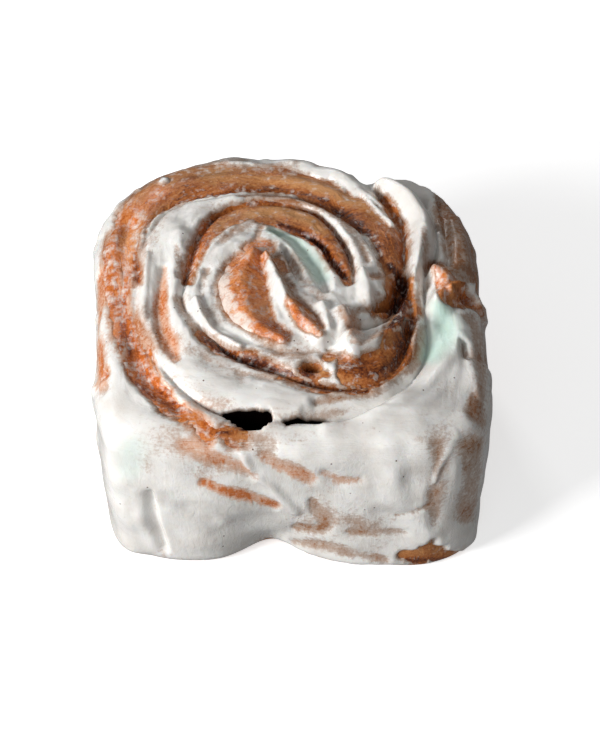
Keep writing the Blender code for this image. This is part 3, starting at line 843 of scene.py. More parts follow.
    def lay(self, ground: Ground, near_seam: Array, gap: Array) -> dict[str, Array]:
        """Works out the icing.

        Args:
            ground: where to work it out.
            near_seam: how near each place is to a seam, from 0 to 1.
            gap: how far each place is into an opening, from 0 to 1.

        Returns:
            The layer's height over the dough, negative where there is none, and its thinness, painted mint
            shade and distance inside a bare patch.
        """
        inside = self.bareness(ground, gap)
        film = self.filminess(ground)
        edge = self.edge * np.exp(0.6 * ground.noise(7.0, 30))
        rise = self.body(ground, film, near_seam) * (1 - np.exp(np.minimum(inside, 0) / edge))
        layer = np.where(inside < 0, rise, -np.minimum(inside * 0.8, self.sunk + 2.0 * gap))
        thin = 1 - smooth_step(0.0, 0.95, layer)
        return {
            "layer": layer,
            "thin": np.clip(np.maximum(thin, film * self.film_stain), 0, 1.1),
            "mint": np.clip(ground.paint(self.mint), 0, 1),
            "inside": inside,
        }


def linear(code: str) -> tuple[float, float, float, float]:
    """Turns an sRGB hex code to a linear colour.

    Args:
        code: the code, such as "#F1EFEB".

    Returns:
        Red, green, blue and an alpha of 1.
    """
    parts = [int(code[i : i + 2], 16) / 255 for i in (1, 3, 5)]
    red, green, blue = ((p / 12.92) if p <= 0.04045 else ((p + 0.055) / 1.055) ** 2.4 for p in parts)
    return red, green, blue, 1.0


def add_node(
    tree: bpy.types.NodeTree,
    kind: str,
    settings: dict[str | int, object] | None = None,
    links: dict[str | int, bpy.types.NodeSocket] | None = None,
) -> bpy.types.Node:
    """Adds a node with its settings and links.

    Args:
        tree: the material's node tree.
        kind: the node's type name.
        settings: values by attribute name, or by input name or number; stops holds a ramp's (place, colour)
            rows in rising order.
        links: source sockets by input name or number.

    Returns:
        The new node.
    """
    node = tree.nodes.new(kind)
    for name, value in (settings or {}).items():
        if name == "stops":
            ramp = node.color_ramp
            for place, _ in value[1:-1]:
                ramp.elements.new(place)
            for element, (place, code) in zip(ramp.elements, value):
                element.position, element.color = place, linear(code)
        elif isinstance(name, str) and hasattr(node, name):
            setattr(node, name, value)
        else:
            node.inputs[name].default_value = value
    for name, source in (links or {}).items():
        tree.links.new(source, node.inputs[name])
    return node


def new_material(name: str) -> tuple[bpy.types.Material, bpy.types.NodeTree, bpy.types.Node]:
    """Makes a material with a plain Principled shader.

    Args:
        name: the material's name.

    Returns:
        The material, its node tree and its shader.
    """
    material = bpy.data.materials.new(name)
    material.use_nodes = True
    return material, material.node_tree, material.node_tree.nodes["Principled BSDF"]


@dataclass(frozen=True)
class BakedDoughFinish:
    """Sweet yeast dough, rolled with cinnamon sugar and baked: a browned, streaky skin that syrup wets."""

    tan: tuple[str, str, str] = ("#CB9059", "#A55F2B", "#522410")
    amber: tuple[str, str, str] = ("#EBA065", "#CC6A29", "#7E300F")
    syrup: str = "#260C06"
    glaze: str = "#F0E4DA"
    ior: float = 1.45
    streak_mm: float = 1.0
    crumb_mm: float = 0.7
    smear_mm: float = 2.2

    def material(self) -> bpy.types.Material:
        """Makes the material.

        Returns:
            The new material.
        """
        material, tree, shader = new_material("baked_sweet_dough")
        flow = add_node(tree, "ShaderNodeAttribute", {"attribute_name": "flow"}).outputs["Vector"]
        here = add_node(tree, "ShaderNodeTexCoord").outputs["Object"]
        bake = add_node(tree, "ShaderNodeAttribute", {"attribute_name": "bake"}).outputs["Fac"]
        wet = add_node(tree, "ShaderNodeAttribute", {"attribute_name": "wet"}).outputs["Fac"]
        glaze = add_node(tree, "ShaderNodeAttribute", {"attribute_name": "glaze"}).outputs["Fac"]
        amber = add_node(tree, "ShaderNodeAttribute", {"attribute_name": "amber"}).outputs["Fac"]
        # Streaks of syrup drawn along the coil; the flow attribute is in millimetres.
        streaks = add_node(
            tree, "ShaderNodeTexNoise",
            {"Scale": 1 / self.streak_mm, "Detail": 4.0, "Roughness": 0.65, "Distortion": 0.9},
            {"Vector": flow},
        ).outputs["Fac"]
        crumb = add_node(
            tree, "ShaderNodeTexNoise", {"Scale": 1 / (self.crumb_mm * MM), "Detail": 3.0, "Roughness": 0.6},
            {"Vector": here},
        ).outputs["Fac"]
        shift = add_node(
            tree, "ShaderNodeMath", {"operation": "MULTIPLY_ADD", 1: 0.8, 2: -0.4}, {0: streaks}
        ).outputs[0]
        spread = add_node(
            tree, "ShaderNodeMath", {"operation": "MULTIPLY_ADD", 1: 0.6, 2: -0.3}, {0: crumb}
        ).outputs[0]
        both = add_node(tree, "ShaderNodeMath", {"operation": "ADD"}, {0: shift, 1: spread}).outputs[0]
        tone = add_node(tree, "ShaderNodeMath", {"operation": "ADD"}, {0: bake, 1: both}).outputs[0]
        # The tone ramp ends, past the darkest crust, in the painted shade of an opening.
        skins = [
            add_node(
                tree, "ShaderNodeValToRGB",
                {"stops": [(0.05, pale), (0.36, brown), (0.62, toast), (0.85, self.syrup), (1.0, PAINTED_HOLLOW_SHADE)]},
                {"Fac": tone},
            ).outputs["Color"]
            for pale, brown, toast in (self.tan, self.amber)
        ]
        skin = add_node(
            tree, "ShaderNodeMix", {"data_type": "RGBA"}, {0: amber, 6: skins[0], 7: skins[1]}
        ).outputs[2]
        # Icing rubbed thin into the skin in broken smears; the same white flecks are partly painted
        # highlights, the glints of the wet syrup.
        smears = add_node(
            tree, "ShaderNodeTexNoise", {"Scale": 1 / (self.smear_mm * MM), "Detail": 5.0, "Roughness": 0.6},
            {"Vector": here},
        ).outputs["Fac"]
        rubbed_and_glints = add_node(
            tree, "ShaderNodeMix", {"data_type": "FLOAT", 0: 0.65}, {2: streaks, 3: smears}
        ).outputs[0]
        lifted = add_node(
            tree, "ShaderNodeMath", {"operation": "MULTIPLY_ADD", 1: 0.16}, {0: glaze, 2: rubbed_and_glints}
        ).outputs[0]
        film = add_node(
            tree, "ShaderNodeMapRange", {"From Min": 0.55, "From Max": 0.71, "To Max": 0.85},
            {"Value": lifted},
        ).outputs["Result"]
        # Painted shade: in the depth of an opening the white flecks and the gloss are taken away.
        lit = add_node(
            tree, "ShaderNodeMapRange", {"From Min": 1.0, "From Max": 0.86}, {"Value": bake}
        ).outputs["Result"]
        shown = add_node(tree, "ShaderNodeMath", {"operation": "MULTIPLY"}, {0: film, 1: lit}).outputs[0]
        coloured = add_node(
            tree, "ShaderNodeMix", {"data_type": "RGBA", 7: linear(self.glaze)}, {0: shown, 6: skin}
        ).outputs[2]
        tree.links.new(coloured, shader.inputs["Base Color"])
        rough = add_node(
            tree, "ShaderNodeMapRange", {"To Min": 0.46, "To Max": 0.15}, {"Value": wet}
        ).outputs["Result"]
        tree.links.new(rough, shader.inputs["Roughness"])
        gloss = add_node(tree, "ShaderNodeMath", {"operation": "MULTIPLY", 1: 0.5}, {0: lit}).outputs[0]
        tree.links.new(gloss, shader.inputs["Specular IOR Level"])
        rumple = add_node(
            tree, "ShaderNodeBump", {"Strength": 0.5, "Distance": 0.5 * MM}, {"Height": streaks}
        ).outputs["Normal"]
        grain = add_node(
            tree, "ShaderNodeBump", {"Strength": 0.4, "Distance": 0.35 * MM},
            {"Height": crumb, "Normal": rumple},
        ).outputs["Normal"]
        tree.links.new(grain, shader.inputs["Normal"])
        shader.inputs["IOR"].default_value = self.ior
        return material


@dataclass(frozen=True)
class CreamIcingFinish:
    """Cream-cheese icing, poured warm and set: dense and white where thick, see-through where it ran thin."""

    cream: str = "#F1EFEB"
    shade: str = "#DDD8D2"
    veils: tuple[str, str] = ("#BBA697", "#DDB095")
    skins: tuple[str, str] = ("#9C6E4C", "#C8723C")
    mint: str = "#D3ECE1"
    spice: str = "#5B3A2A"
    ior: float = 1.46
    roughness: float = 0.2
    streak_mm: float = 1.6
    speckle_mm: float = 0.9
    cloud_mm: float = 7.0
    speck_mm: float = 2.2
    bleed_mm: float = 1.2

    def material(self) -> bpy.types.Material:
        """Makes the material.

        Returns:
            The new material.
        """
        material, tree, shader = new_material("cream_cheese_icing")
        flow = add_node(tree, "ShaderNodeAttribute", {"attribute_name": "flow"}).outputs["Vector"]
        here = add_node(tree, "ShaderNodeTexCoord").outputs["Object"]
        thin = add_node(tree, "ShaderNodeAttribute", {"attribute_name": "thin"}).outputs["Fac"]
        mint = add_node(tree, "ShaderNodeAttribute", {"attribute_name": "mint"}).outputs["Fac"]
        amber = add_node(tree, "ShaderNodeAttribute", {"attribute_name": "amber"}).outputs["Fac"]
        gap = add_node(tree, "ShaderNodeAttribute", {"attribute_name": "gap"}).outputs["Fac"]
        streaks = add_node(
            tree, "ShaderNodeTexNoise",
            {"Scale": 1 / self.streak_mm, "Detail": 5.0, "Roughness": 0.6, "Distortion": 0.7},
            {"Vector": flow},
        ).outputs["Fac"]
        fine = add_node(
            tree, "ShaderNodeTexNoise",
            {"Scale": 1 / (self.speckle_mm * MM), "Detail": 4.0, "Roughness": 0.7},
            {"Vector": here},
        ).outputs["Fac"]
        clouds = add_node(
            tree, "ShaderNodeTexNoise", {"Scale": 1 / (self.cloud_mm * MM), "Detail": 3.0}, {"Vector": here}
        ).outputs["Fac"]
        # The thinner the icing, the more of the dough comes through it, first as a veil and then as its skin.
        shift = add_node(
            tree, "ShaderNodeMath", {"operation": "MULTIPLY_ADD", 1: 0.9, 2: -0.45}, {0: streaks}
        ).outputs[0]
        spread = add_node(
            tree, "ShaderNodeMath", {"operation": "MULTIPLY_ADD", 1: 1.3, 2: -0.65}, {0: fine}
        ).outputs[0]
        both = add_node(tree, "ShaderNodeMath", {"operation": "ADD"}, {0: shift, 1: spread}).outputs[0]
        gated = add_node(tree, "ShaderNodeMath", {"operation": "ADD"}, {0: thin, 1: both}).outputs[0]
        veil = add_node(
            tree, "ShaderNodeMapRange",
            {"interpolation_type": "SMOOTHSTEP", "From Min": 0.15, "From Max": 0.8},
            {"Value": gated},
        ).outputs["Result"]
        skin = add_node(
            tree, "ShaderNodeMapRange",
            {"interpolation_type": "SMOOTHSTEP", "From Min": 0.75, "From Max": 1.15},
            {"Value": gated},
        ).outputs["Result"]
        tones = [
            add_node(
                tree, "ShaderNodeMix", {"data_type": "RGBA", 6: linear(grey), 7: linear(warm)}, {0: amber}
            ).outputs[2]
            for grey, warm in (self.veils, self.skins)
        ]
        cloudy = add_node(
            tree, "ShaderNodeMapRange", {"From Min": 0.4, "From Max": 0.75}, {"Value": clouds}
        ).outputs["Result"]
        dense = add_node(
            tree, "ShaderNodeMix",
            {"data_type": "RGBA", 6: linear(self.cream), 7: linear(self.shade)},
            {0: cloudy},
        ).outputs[2]
        veiled = add_node(
            tree, "ShaderNodeMix", {"data_type": "RGBA"}, {0: veil, 6: dense, 7: tones[0]}
        ).outputs[2]
        browned = add_node(
            tree, "ShaderNodeMix", {"data_type": "RGBA"}, {0: skin, 6: veiled, 7: tones[1]}
        ).outputs[2]
        # Painted shade: a pale green cast in the deepest hollows of the icing.
        tinted = add_node(
            tree, "ShaderNodeMix", {"data_type": "RGBA", 7: linear(self.mint)}, {0: mint, 6: browned}
        ).outputs[2]
        # Painted shade: icing that has sunk into an opening is painted black and loses its gloss.
        depth = add_node(
            tree, "ShaderNodeMapRange", {"From Min": 0.05, "From Max": 0.17}, {"Value": gap}
        ).outputs["Result"]
        shaded = add_node(
            tree, "ShaderNodeMix", {"data_type": "RGBA", 7: linear(PAINTED_HOLLOW_SHADE)}, {0: depth, 6: tinted}
        ).outputs[2]
        gloss = add_node(
            tree, "ShaderNodeMapRange", {"To Min": 0.5, "To Max": 0.0}, {"Value": depth}
        ).outputs["Result"]
        tree.links.new(gloss, shader.inputs["Specular IOR Level"])
        # Sparse specks of spice about a third of a millimetre across, one in a few cells of the pattern.
        cells = add_node(tree, "ShaderNodeTexVoronoi", {"Scale": 1 / (self.speck_mm * MM)}, {"Vector": here})
        near = add_node(
            tree, "ShaderNodeMapRange", {"From Min": 0.12, "From Max": 0.06},
            {"Value": cells.outputs["Distance"]},
        ).outputs["Result"]
        chosen = add_node(
            tree, "ShaderNodeMath", {"operation": "GREATER_THAN", 1: 0.78}, {0: cells.outputs["Color"]}
        ).outputs[0]
        speck = add_node(tree, "ShaderNodeMath", {"operation": "MULTIPLY"}, {0: near, 1: chosen}).outputs[0]
        specked = add_node(
            tree, "ShaderNodeMix", {"data_type": "RGBA", 7: linear(self.spice)}, {0: speck, 6: shaded}
        ).outputs[2]
        tree.links.new(specked, shader.inputs["Base Color"])
        rumple = add_node(
            tree, "ShaderNodeBump", {"Strength": 0.4, "Distance": 0.45 * MM}, {"Height": streaks}
        ).outputs["Normal"]
        grain = add_node(
            tree, "ShaderNodeBump", {"Strength": 0.22, "Distance": 0.4 * MM},
            {"Height": fine, "Normal": rumple},
        ).outputs["Normal"]
        tree.links.new(grain, shader.inputs["Normal"])
        shader.inputs["Roughness"].default_value = self.roughness
        shader.inputs["IOR"].default_value = self.ior
        shader.inputs["Subsurface Weight"].default_value = 0.25
        shader.inputs["Subsurface Radius"].default_value = (1.0, 0.75, 0.55)
        shader.inputs["Subsurface Scale"].default_value = self.bleed_mm * MM
        return material


@dataclass(frozen=True)
class CinnamonSyrupFinish:
    """Cinnamon, sugar and butter melted to a syrup in the oven: nearly black, with a wet gloss."""

    dark: str = "#1C0905"
    light: str = "#4A1C0D"
    roughness: float = 0.25
    ior: float = 1.49
    grain_mm: float = 0.8

    def material(self) -> bpy.types.Material:
        """Makes the material.

        Returns:
            The new material.
        """
        material, tree, shader = new_material("cinnamon_syrup")
        here = add_node(tree, "ShaderNodeTexCoord").outputs["Object"]
        grain = add_node(
            tree, "ShaderNodeTexNoise", {"Scale": 1 / (self.grain_mm * MM), "Detail": 3.0}, {"Vector": here}
        ).outputs["Fac"]
        colour = add_node(
            tree, "ShaderNodeValToRGB", {"stops": [(0.35, self.dark), (0.7, self.light)]}, {"Fac": grain}
        ).outputs["Color"]
        tree.links.new(colour, shader.inputs["Base Color"])
        bump = add_node(
            tree, "ShaderNodeBump", {"Strength": 0.5, "Distance": 0.3 * MM}, {"Height": grain}
        ).outputs["Normal"]
        tree.links.new(bump, shader.inputs["Normal"])
        shader.inputs["Roughness"].default_value = self.roughness
        shader.inputs["IOR"].default_value = self.ior
        return material


@dataclass(frozen=True)
class StudioFloorFinish:
    """Matt white seamless paper, lit from within a little so that it stays paler than the icing."""

    paper: str = "#FFFFFF"
    roughness: float = 0.9
    glow: float = 0.57

    def material(self) -> bpy.types.Material:
        """Makes the material.

        Returns:
            The new material.
        """
        material, _, shader = new_material("white_paper_floor")
        shader.inputs["Base Color"].default_value = linear(self.paper)
        shader.inputs["Roughness"].default_value = self.roughness
        shader.inputs["Emission Color"].default_value = linear(self.paper)
        shader.inputs["Emission Strength"].default_value = self.glow
        return material


def open_box(columns: int, rows: int) -> tuple[bmesh.types.BMesh, Array]:
    """A finely divided box, its floor one face.

    Args:
        columns: cells along each side of the lid.
        rows: cells down each wall.

    Returns:
        The mesh, and its points, with the lid at z = 0 and the foot at z = -1.
    """
    bm = bmesh.new()
    bmesh.ops.create_grid(bm, x_segments=columns, y_segments=columns, size=1.0)
    hem = [edge for edge in bm.edges if edge.is_boundary]
    for _ in range(rows):
        grown = bmesh.ops.extrude_edge_only(bm, edges=hem)["geom"]
        verts = [item for item in grown if isinstance(item, bmesh.types.BMVert)]
        bmesh.ops.translate(bm, verts=verts, vec=(0.0, 0.0, -1.0 / rows))
        hem = [item for item in grown if isinstance(item, bmesh.types.BMEdge) and item.is_boundary]
    bmesh.ops.contextual_create(bm, geom=hem)
    bmesh.ops.recalc_face_normals(bm, faces=bm.faces)
    return bm, np.array([vert.co for vert in bm.verts])


def make_piece(
    name: str,
    bm: bmesh.types.BMesh,
    places: Array,
    attributes: dict[str, Array],
    material: bpy.types.Material,
) -> bpy.types.Object:
    """Turns a mesh into a finished piece.

    Args:
        name: the piece's name.
        bm: its topology; it is freed here.
        places: where its points go, in millimetres.
        attributes: numbers or vectors on its points, by name.
        material: its finish.

    Returns:
        The new object, at the origin.
    """
    mesh = bpy.data.meshes.new(name)
    bm.to_mesh(mesh)
    bm.free()
    mesh.vertices.foreach_set("co", (places * MM).astype(np.float32).ravel())
    for label, values in attributes.items():
        vector = values.ndim == 2
        layer = mesh.attributes.new(label, "FLOAT_VECTOR" if vector else "FLOAT", "POINT")
        layer.data.foreach_set("vector" if vector else "value", values.astype(np.float32).ravel())
    mesh.polygons.foreach_set("use_smooth", np.ones(len(mesh.polygons), dtype=bool))
    mesh.materials.append(material)
    mesh.update()
    piece = bpy.data.objects.new(name, mesh)
    bpy.context.scene.collection.objects.link(piece)
    return piece


@dataclass
class CinnamonRoll:
    """The roll's three layers, laid over one shape. Millimetres.

    The marks on the top were placed for a surface marks_rise over the smooth body. Every layer settles to the
    smooth body over the lowest foot_height of the wall, where the icing lies foot_inset inside it. The
    crust's tone runs from 0, pale, to 1, black: the crust goes no darker than darkest_bake, and the black
    beyond is the painted shade of the openings.
    """

    shape: LoafShape = field(default_factory=LoafShape)
    coil: Coil = field(default_factory=Coil)
    icing: IcingCover = field(default_factory=IcingCover)
    lid_cells: int = 210
    wall_cells: int = 55
    marks_rise: float = 0.5
    foot_height: float = 3.0
    foot_inset: float = 0.4
    icing_foot: float = 0.25
    plain_bake: float = 0.3
    darkest_bake: float = 0.85
    bead_width: float = 0.55
    bead_height: float = 0.9
    bead_depth: float = 0.7
    bead_sides: int = 8
    dark: tuple[Brush, ...] = (
        # Where syrup has soaked into the crust: along the seams, round the back and in the pits. On the right
        # and lower right turns the darkening is partly painted shade.
        Brush(((-29.4, 24.4, 1.3), (-24, 26.8, 1.6), (-19.6, 28.9, 1.8), (-12, 30, 2.2), (-4, 30.4, 2.6),
               (3, 29.6, 2.6), (8, 27, 2.6), (12.6, 22.4, 2.6), (17, 17.4, 2.4), (20.4, 12, 2.2),
               (21.6, 5, 2)), 0.26),
        Brush(((-16, 38, 2), (-8, 38.4, 2.4), (-2, 37.4, 2)), 0.16),
        Brush(((20.6, 33.4, 1.2), (23, 29.6, 1.7), (26, 24, 1.7), (28.6, 18, 1.5)), 0.16),
        Brush(((-25.6, -9.4, 1), (-26.4, -5, 1), (-24.9, 0, 1.1), (-23.8, 6, 1.2), (-22, 12.4, 1.4),
               (-18.4, 19.6, 1.6), (-13, 24, 1.7), (-6, 25.6, 1.8), (1, 24.6, 1.6), (6.6, 20.7, 1.5),
               (11, 15.2, 1.4), (14.2, 9, 1.4), (15.2, 2, 1.2)), 0.26),
        Brush(((-2.4, 16, 1.6), (3, 13.4, 2.1), (7, 8.8, 2.2), (10, 4, 2.4), (12.6, -1, 2),
               (13.8, -4, 1.4)), 0.4),
        Brush(((-21, -20.5, 1.5), (-15.4, -25.6, 2), (-9, -28, 2.8), (-2, -31, 1.8), (4.4, -31, 2.8)), 0.4),
        Brush(((23.4, -16.6, 2), (25.6, -12, 3.2), (27, -7, 3.8), (26.6, -1, 2.8), (24.4, 3, 1.8)), 0.6),
        Brush(((-42, -11, 1.6), (-39.2, -17, 2)), 0.2),
        Brush(((-42, -6, 3), (-39.8, -15, 3.2), (-38, -22, 3.2), (-35, -29, 3.2), (-31, -35, 2.8),
               (-26, -40.6, 2.4)), 0.16),
        Brush(((-39.6, -29, 1.2), (-36, -32.8, 1.2), (-32, -37, 1)), 0.26),
        Brush(((-38.8, 9, 1.3), (-37.8, 3, 1.5), (-37.2, -2, 1.2)), 0.25),
        Brush(((3, -34, 1.2), (10, -35.6, 1.2), (17.4, -36.3, 1.2)), 0.3),
        # Partly painted shade: the lower right and right turns darkened where they lie in shade.
        Brush(((12.6, -30, 3.6), (19.6, -31, 5.6), (25, -26, 4.4), (28, -15, 3.2)), 0.32),
        Brush(((25, 12, 4), (25.6, 4, 4)), 0.14),
        Brush(((-8, 7.6, 2), (-6.4, 3, 2), (-5.6, -1, 1.6)), 0.14),
        Brush(((-14, -46.6, 2.4), (-20, -44.4, 1.6)), 0.16),
        Brush(((40.6, -6.2, 1.6), (43.6, -4, 1.8), (46.4, -6.6, 1.4)), 0.2),
        Brush(((45.6, 24, 1.4), (47.2, 16, 2), (48.2, 8, 2.2), (48, -3, 1.8)), 0.35),
        Brush(((28, 3, 2), (33.4, 3, 2.8), (39, 2, 2)), 0.4, Face.FRONT),
    )
    tan: tuple[Brush, ...] = (
        # Paler crust on the crowns of the turns.
        Brush(((-20, 36.6, 6), (-8, 36.4, 5), (0, 35, 4), (8, 31.4, 3.6), (16, 26.6, 3.6),
               (22, 20.6, 3)), 0.2),
        Brush(((-10, 20.4, 2.6), (-3, 21.6, 3.6), (4, 18.4, 3), (8.4, 13.8, 2.2)), 0.2),
        Brush(((26.6, 14, 2.4), (26, 6, 2.2)), 0.12),
    )
    rubbed_and_glints: tuple[Brush, ...] = (
        # Icing rubbed into bare dough, on the heart's lobe, the left, the back and the front turn; its white
        # flecks are partly painted glints of the wet syrup.
        Brush(((-15.6, 0, 2.6), (-16.4, -6, 4), (-14.4, -13, 4.6), (-10, -18, 3.8)), 1.0),
        Brush(((-38, 22, 3.4), (-39, 12, 3), (-40, 3, 2.4)), 0.5),
        Brush(((-34, 36, 4), (-24, 40, 3), (-14, 40, 3), (0, 39, 3)), 0.4),
        Brush(((9, -30, 3), (12, -24, 3)), 0.4),
    )
    amber: tuple[Brush, ...] = (
        # Orange, syrup-glazed dough: the left turns, the heart, the torn peak and the front's smears.
        Brush(((-34, 31, 5), (-40, 22, 6), (-42, 12, 7), (-42, 0, 7), (-41, -12, 7), (-37, -24, 7),
               (-30, -35, 6), (-20, -44, 6)), 0.9),
        Brush(((-31, 2, 3), (-31, -10, 4), (-27.4, -25, 4)), 0.9),
        Brush(((-48, 6, 4), (-47.4, -12, 4), (-44, -30, 4)), 0.9),
        Brush(((-8, 8, 5), (-11, -2, 8), (-10, -12, 8), (-2, -21, 4)), 1.0),
        Brush(((0, -11, 3), (5, -18, 4)), 0.8),
        Brush(((14, -16, 3), (15, -20, 3)), 0.5),
        Brush(((20, -3, 3),), 0.6),
        Brush(((36.4, 3, 3.4), (36.4, -4, 3)), 1.0),
        Brush(((42, -5, 4),), 0.5),
        Brush(((-24, 20, 3), (-21, 12, 3), (-24, 2, 3)), 0.5),
        Brush(((3, 12, 3), (9, 5, 3)), 0.4),
        Brush(((-22, 46, 7), (-16, 42, 7), (-8, 40, 6), (3, 36, 6)), 0.8, Face.FRONT),
        Brush(((-20, 33, 5), (-5, 25, 5)), 1.0, Face.FRONT),
        Brush(((8, 36, 5), (14, 34, 4)), 0.6, Face.FRONT),
    )

    def build(self) -> list[bpy.types.Object]:
        """Builds the dough, the icing and the syrup.

        Returns:
            The pieces, each riding on the root body.
        """
        dough_box, cube = open_box(self.lid_cells, self.wall_cells)
        icing_box = dough_box.copy()
        ground = Ground.on(self.shape, cube)
        rise, near_seam, gap = self.coil.height(ground)
        ground = ground.with_rise(rise - self.marks_rise)
        cover = self.icing.lay(ground, near_seam, gap)
        cover["gap"] = gap
        cover["amber"] = np.clip(0.1 + ground.paint(self.amber) + 0.15 * ground.noise(6.0, 43), 0, 1)
        foot = smooth_step(0.0, self.foot_height, ground.place[:, 2])
        iced = (rise + cover["layer"]) * foot - self.foot_inset * (1 - foot)
        return [
            self.dough(dough_box, ground, rise * foot, near_seam, cover),
            self.coat(icing_box, ground, iced, cover),
            self.syrup(),
        ]

    def dough(
        self, bm: bmesh.types.BMesh, ground: Ground, rise: Array, near_seam: Array, cover: dict[str, Array]
    ) -> bpy.types.Object:
        """Builds the coiled dough.

        Args:
            bm: the divided box it is laid on.
            ground: the ground under its points.
            rise: its height over the smooth body.
            near_seam: how near each point is to a seam, from 0 to 1.
            cover: the icing over it.

        Returns:
            The piece.
        """
        places = ground.place + ground.out * rise[:, None]
        places[:, 2] = np.maximum(places[:, 2], 0.0)
        amber, dark, wall = cover["amber"], ground.paint(self.dark), ground.wall
        # Darker beside the deeper seams and under the dark strokes, some of which are painted shade.
        bake = self.plain_bake + 0.08 * near_seam + 0.8 * dark - ground.paint(self.tan)
        bake += 0.08 * ground.noise(7.0, 41) + 0.1 * ground.streaks(4.0, 42)
        attributes = {
            # Painted shade: an opening is black from a quarter of its depth down.
            "bake": np.clip(bake - 0.12 * wall, 0, self.darkest_bake) + 4.0 * cover["gap"],
            "wet": np.clip(0.3 + 0.7 * amber + dark - 0.3 * wall, 0, 1),
            "amber": amber,
            "glaze": self.rubbed_icing_and_glints(ground, cover["inside"], amber) * (1 - wall),
            "flow": ground.flow,
        }
        piece = make_piece("coiled_dough", bm, places, attributes, BakedDoughFinish().material())
        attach(piece, "root")
        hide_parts("rolled_dough")
        return piece

    def rubbed_icing_and_glints(self, ground: Ground, inside: Array, amber: Array) -> Array:
        """How much icing is rubbed into bare dough, most beside the icing's edge and on the glazed turns; its
        white flecks are partly painted glints.
        """
        edge = np.exp(-np.clip(inside, 0, 9) / 1.6) * (0.2 + 0.35 * amber)
        return np.clip(edge + 0.2 * amber + ground.paint(self.rubbed_and_glints), 0, 1.3)

    def coat(
        self, bm: bmesh.types.BMesh, ground: Ground, rise: Array, cover: dict[str, Array]
    ) -> bpy.types.Object:
        """Builds the icing, which dips under the dough's skin wherever the dough is bare.

        Args:
            bm: the divided box it is laid on.
            ground: the ground under its points.
            rise: its height over the smooth body.
            cover: its thinness and tints.

        Returns:
            The piece.
        """
        places = ground.place + ground.out * rise[:, None]
        places[:, 2] = np.maximum(places[:, 2], self.icing_foot)
        attributes = {"flow": ground.flow, **{key: cover[key] for key in ("thin", "mint", "amber", "gap")}}
        piece = make_piece("icing_coat", bm, places, attributes, CreamIcingFinish().material())
        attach(piece, "root")
        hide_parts("cream_icing")
        return piece

    def syrup(self) -> bpy.types.Object:
        """Builds the syrupy filling, a soft bead that lies in the bottom of both seams.

        Returns:
            The piece.
        """
        outer, inner = self.coil.outer_seam.path(1.5), self.coil.inner_seam.path(1.5)
        path = np.concatenate([outer[::-1], inner])
        last = len(path) - 1
        # A flat grid as long as the path, to be rolled up into a bead.
        bm = bmesh.new()
        bmesh.ops.create_grid(bm, x_segments=last, y_segments=self.bead_sides, size=0.5)
        grid = np.array([vert.co for vert in bm.verts])
        step = np.round((grid[:, 0] + 0.5) * last).astype(int)
        turn = (grid[:, 1] + 0.5) * 2 * math.pi
        ahead = np.gradient(path[:, :2], axis=0)
        ahead /= np.maximum(np.hypot(*ahead.T), 1e-6)[:, None]
        ground = Ground.on(self.shape, self.shape.on_lid(path[:, :2]))
        floor = ground.place[:, 2] + self.coil.height(ground)[0]
        swell = 1 + 0.35 * lumps(np.stack([path[:, 0], path[:, 1], floor], axis=1) / 3.0, 51)
        wide, tall = self.bead_width * swell, self.bead_height * swell
        # Where the seam has only a shallow slit, the syrup has sunk a millimetre more.
        floor = floor - self.bead_depth - 1.0 * (1 - smooth_step(1.2, 2.6, path[:, 5]))
        across = np.cos(turn) * wide[step]
        places = np.stack(
            [
                path[step, 0] - ahead[step, 1] * across,
                path[step, 1] + ahead[step, 0] * across,
                floor[step] + np.sin(turn) * tall[step],
            ],
            axis=1,
        )
        for vert, place in zip(bm.verts, places):
            vert.co = place
        bmesh.ops.remove_doubles(bm, verts=bm.verts, dist=1e-4)
        bmesh.ops.holes_fill(bm, edges=[edge for edge in bm.edges if edge.is_boundary], sides=0)
        bmesh.ops.recalc_face_normals(bm, faces=bm.faces)
        places = np.array([vert.co for vert in bm.verts])
        piece = make_piece("seam_syrup", bm, places, {}, CinnamonSyrupFinish().material())
        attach(piece, "root")
        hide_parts("cinnamon_filling")
        return piece


@dataclass(frozen=True)
class SoftLight:
    """One soft box: its name, place and aim in metres, its size in metres and its power in watts."""

    name: str
    place: Row
    aim: Row
    size: float
    power: float


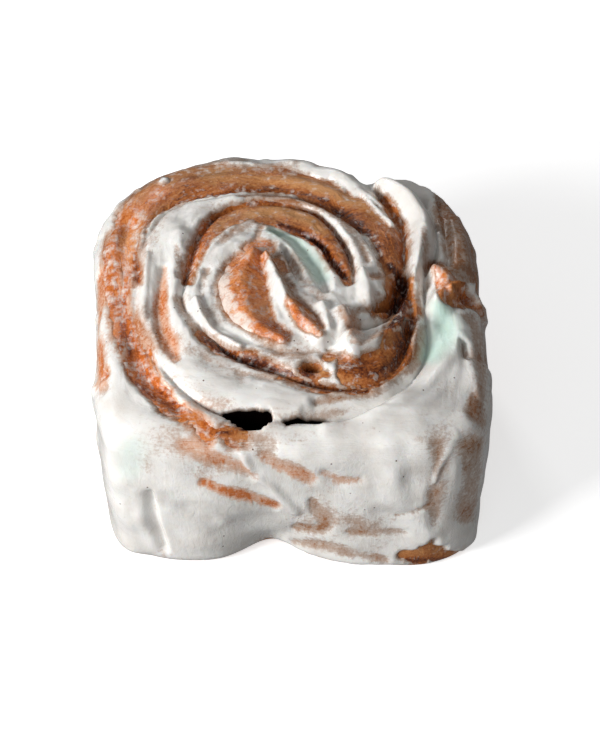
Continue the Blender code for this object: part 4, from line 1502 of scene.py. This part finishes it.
@dataclass(frozen=True)
class Studio:
    """A white table, soft light from the left, and the camera. Metres and degrees; the lens is in mm."""

    lights: tuple[SoftLight, ...] = (
        SoftLight("window_left", (-0.6, -0.36, 0.34), (0.0, 0.0, 0.03), 0.28, 6.6),
        SoftLight("bounce_front", (-0.1, -0.8, 0.3), (0.0, 0.0, 0.02), 0.6, 0.8),
        SoftLight("sheen_back", (-0.18, 0.55, 0.5), (0.0, 0.0, 0.04), 0.12, 0.7),
    )
    floor_reach: float = 3.0
    ambient: float = 0.19
    target: Row = (0.0, 0.0, 0.026)
    elevation: float = 47.0
    distance: float = 0.48
    lens: float = 91.0
    shift: tuple[float, float] = (0.0125, -0.036)

    def build(self) -> None:
        """Builds the table, the lights and the camera."""
        bm = bmesh.new()
        bmesh.ops.create_grid(bm, x_segments=1, y_segments=1, size=self.floor_reach)
        mesh = bpy.data.meshes.new("paper_floor")
        bm.to_mesh(mesh)
        bm.free()
        mesh.materials.append(StudioFloorFinish().material())
        floor = bpy.data.objects.new("paper_floor", mesh)
        bpy.context.scene.collection.objects.link(floor)
        floor.visible_diffuse = False
        floor.visible_glossy = False
        for light in self.lights:
            self.hang(light)
        world = bpy.data.worlds.new("soft_room")
        world.use_nodes = True
        back = world.node_tree.nodes["Background"]
        back.inputs["Color"].default_value = linear("#FFFFFF")
        back.inputs["Strength"].default_value = self.ambient
        bpy.context.scene.world = world
        bpy.context.scene.view_settings.view_transform = "Standard"
        self.set_camera()

    def hang(self, light: SoftLight) -> None:
        """Hangs one soft box, turned towards its aim.

        Args:
            light: the soft box.
        """
        data = bpy.data.lights.new(light.name, "AREA")
        data.shape, data.size, data.energy = "SQUARE", light.size, light.power
        lamp = bpy.data.objects.new(light.name, data)
        bpy.context.scene.collection.objects.link(lamp)
        place, aim = np.array(light.place), np.array(light.aim)
        way = (aim - place) / np.linalg.norm(aim - place)
        lamp.location = light.place
        tilt = math.acos(-way[2])
        lamp.rotation_euler = (tilt, 0.0, math.atan2(way[1], way[0]) - math.pi / 2)

    def set_camera(self) -> None:
        """Sets the camera, which looks down at the roll's iced front."""
        data = bpy.data.cameras.new("camera")
        data.lens = self.lens
        data.shift_x, data.shift_y = self.shift
        data.clip_end = 10.0
        camera = bpy.data.objects.new("camera", data)
        bpy.context.scene.collection.objects.link(camera)
        rise = math.radians(self.elevation)
        camera.location = (
            self.target[0],
            self.target[1] - self.distance * math.cos(rise),
            self.target[2] + self.distance * math.sin(rise),
        )
        camera.rotation_euler = (math.pi / 2 - rise, 0.0, 0.0)
        bpy.context.scene.camera = camera


def main() -> None:
    """Builds the roll and its studio, and logs how many faces each piece has."""
    logging.basicConfig(level=logging.INFO, format="%(name)s: %(message)s")
    Studio().build()
    for piece in CinnamonRoll().build():
        LOG.info("%s: %d faces", piece.name, len(piece.data.polygons))


if __name__ == "__main__":
    main()
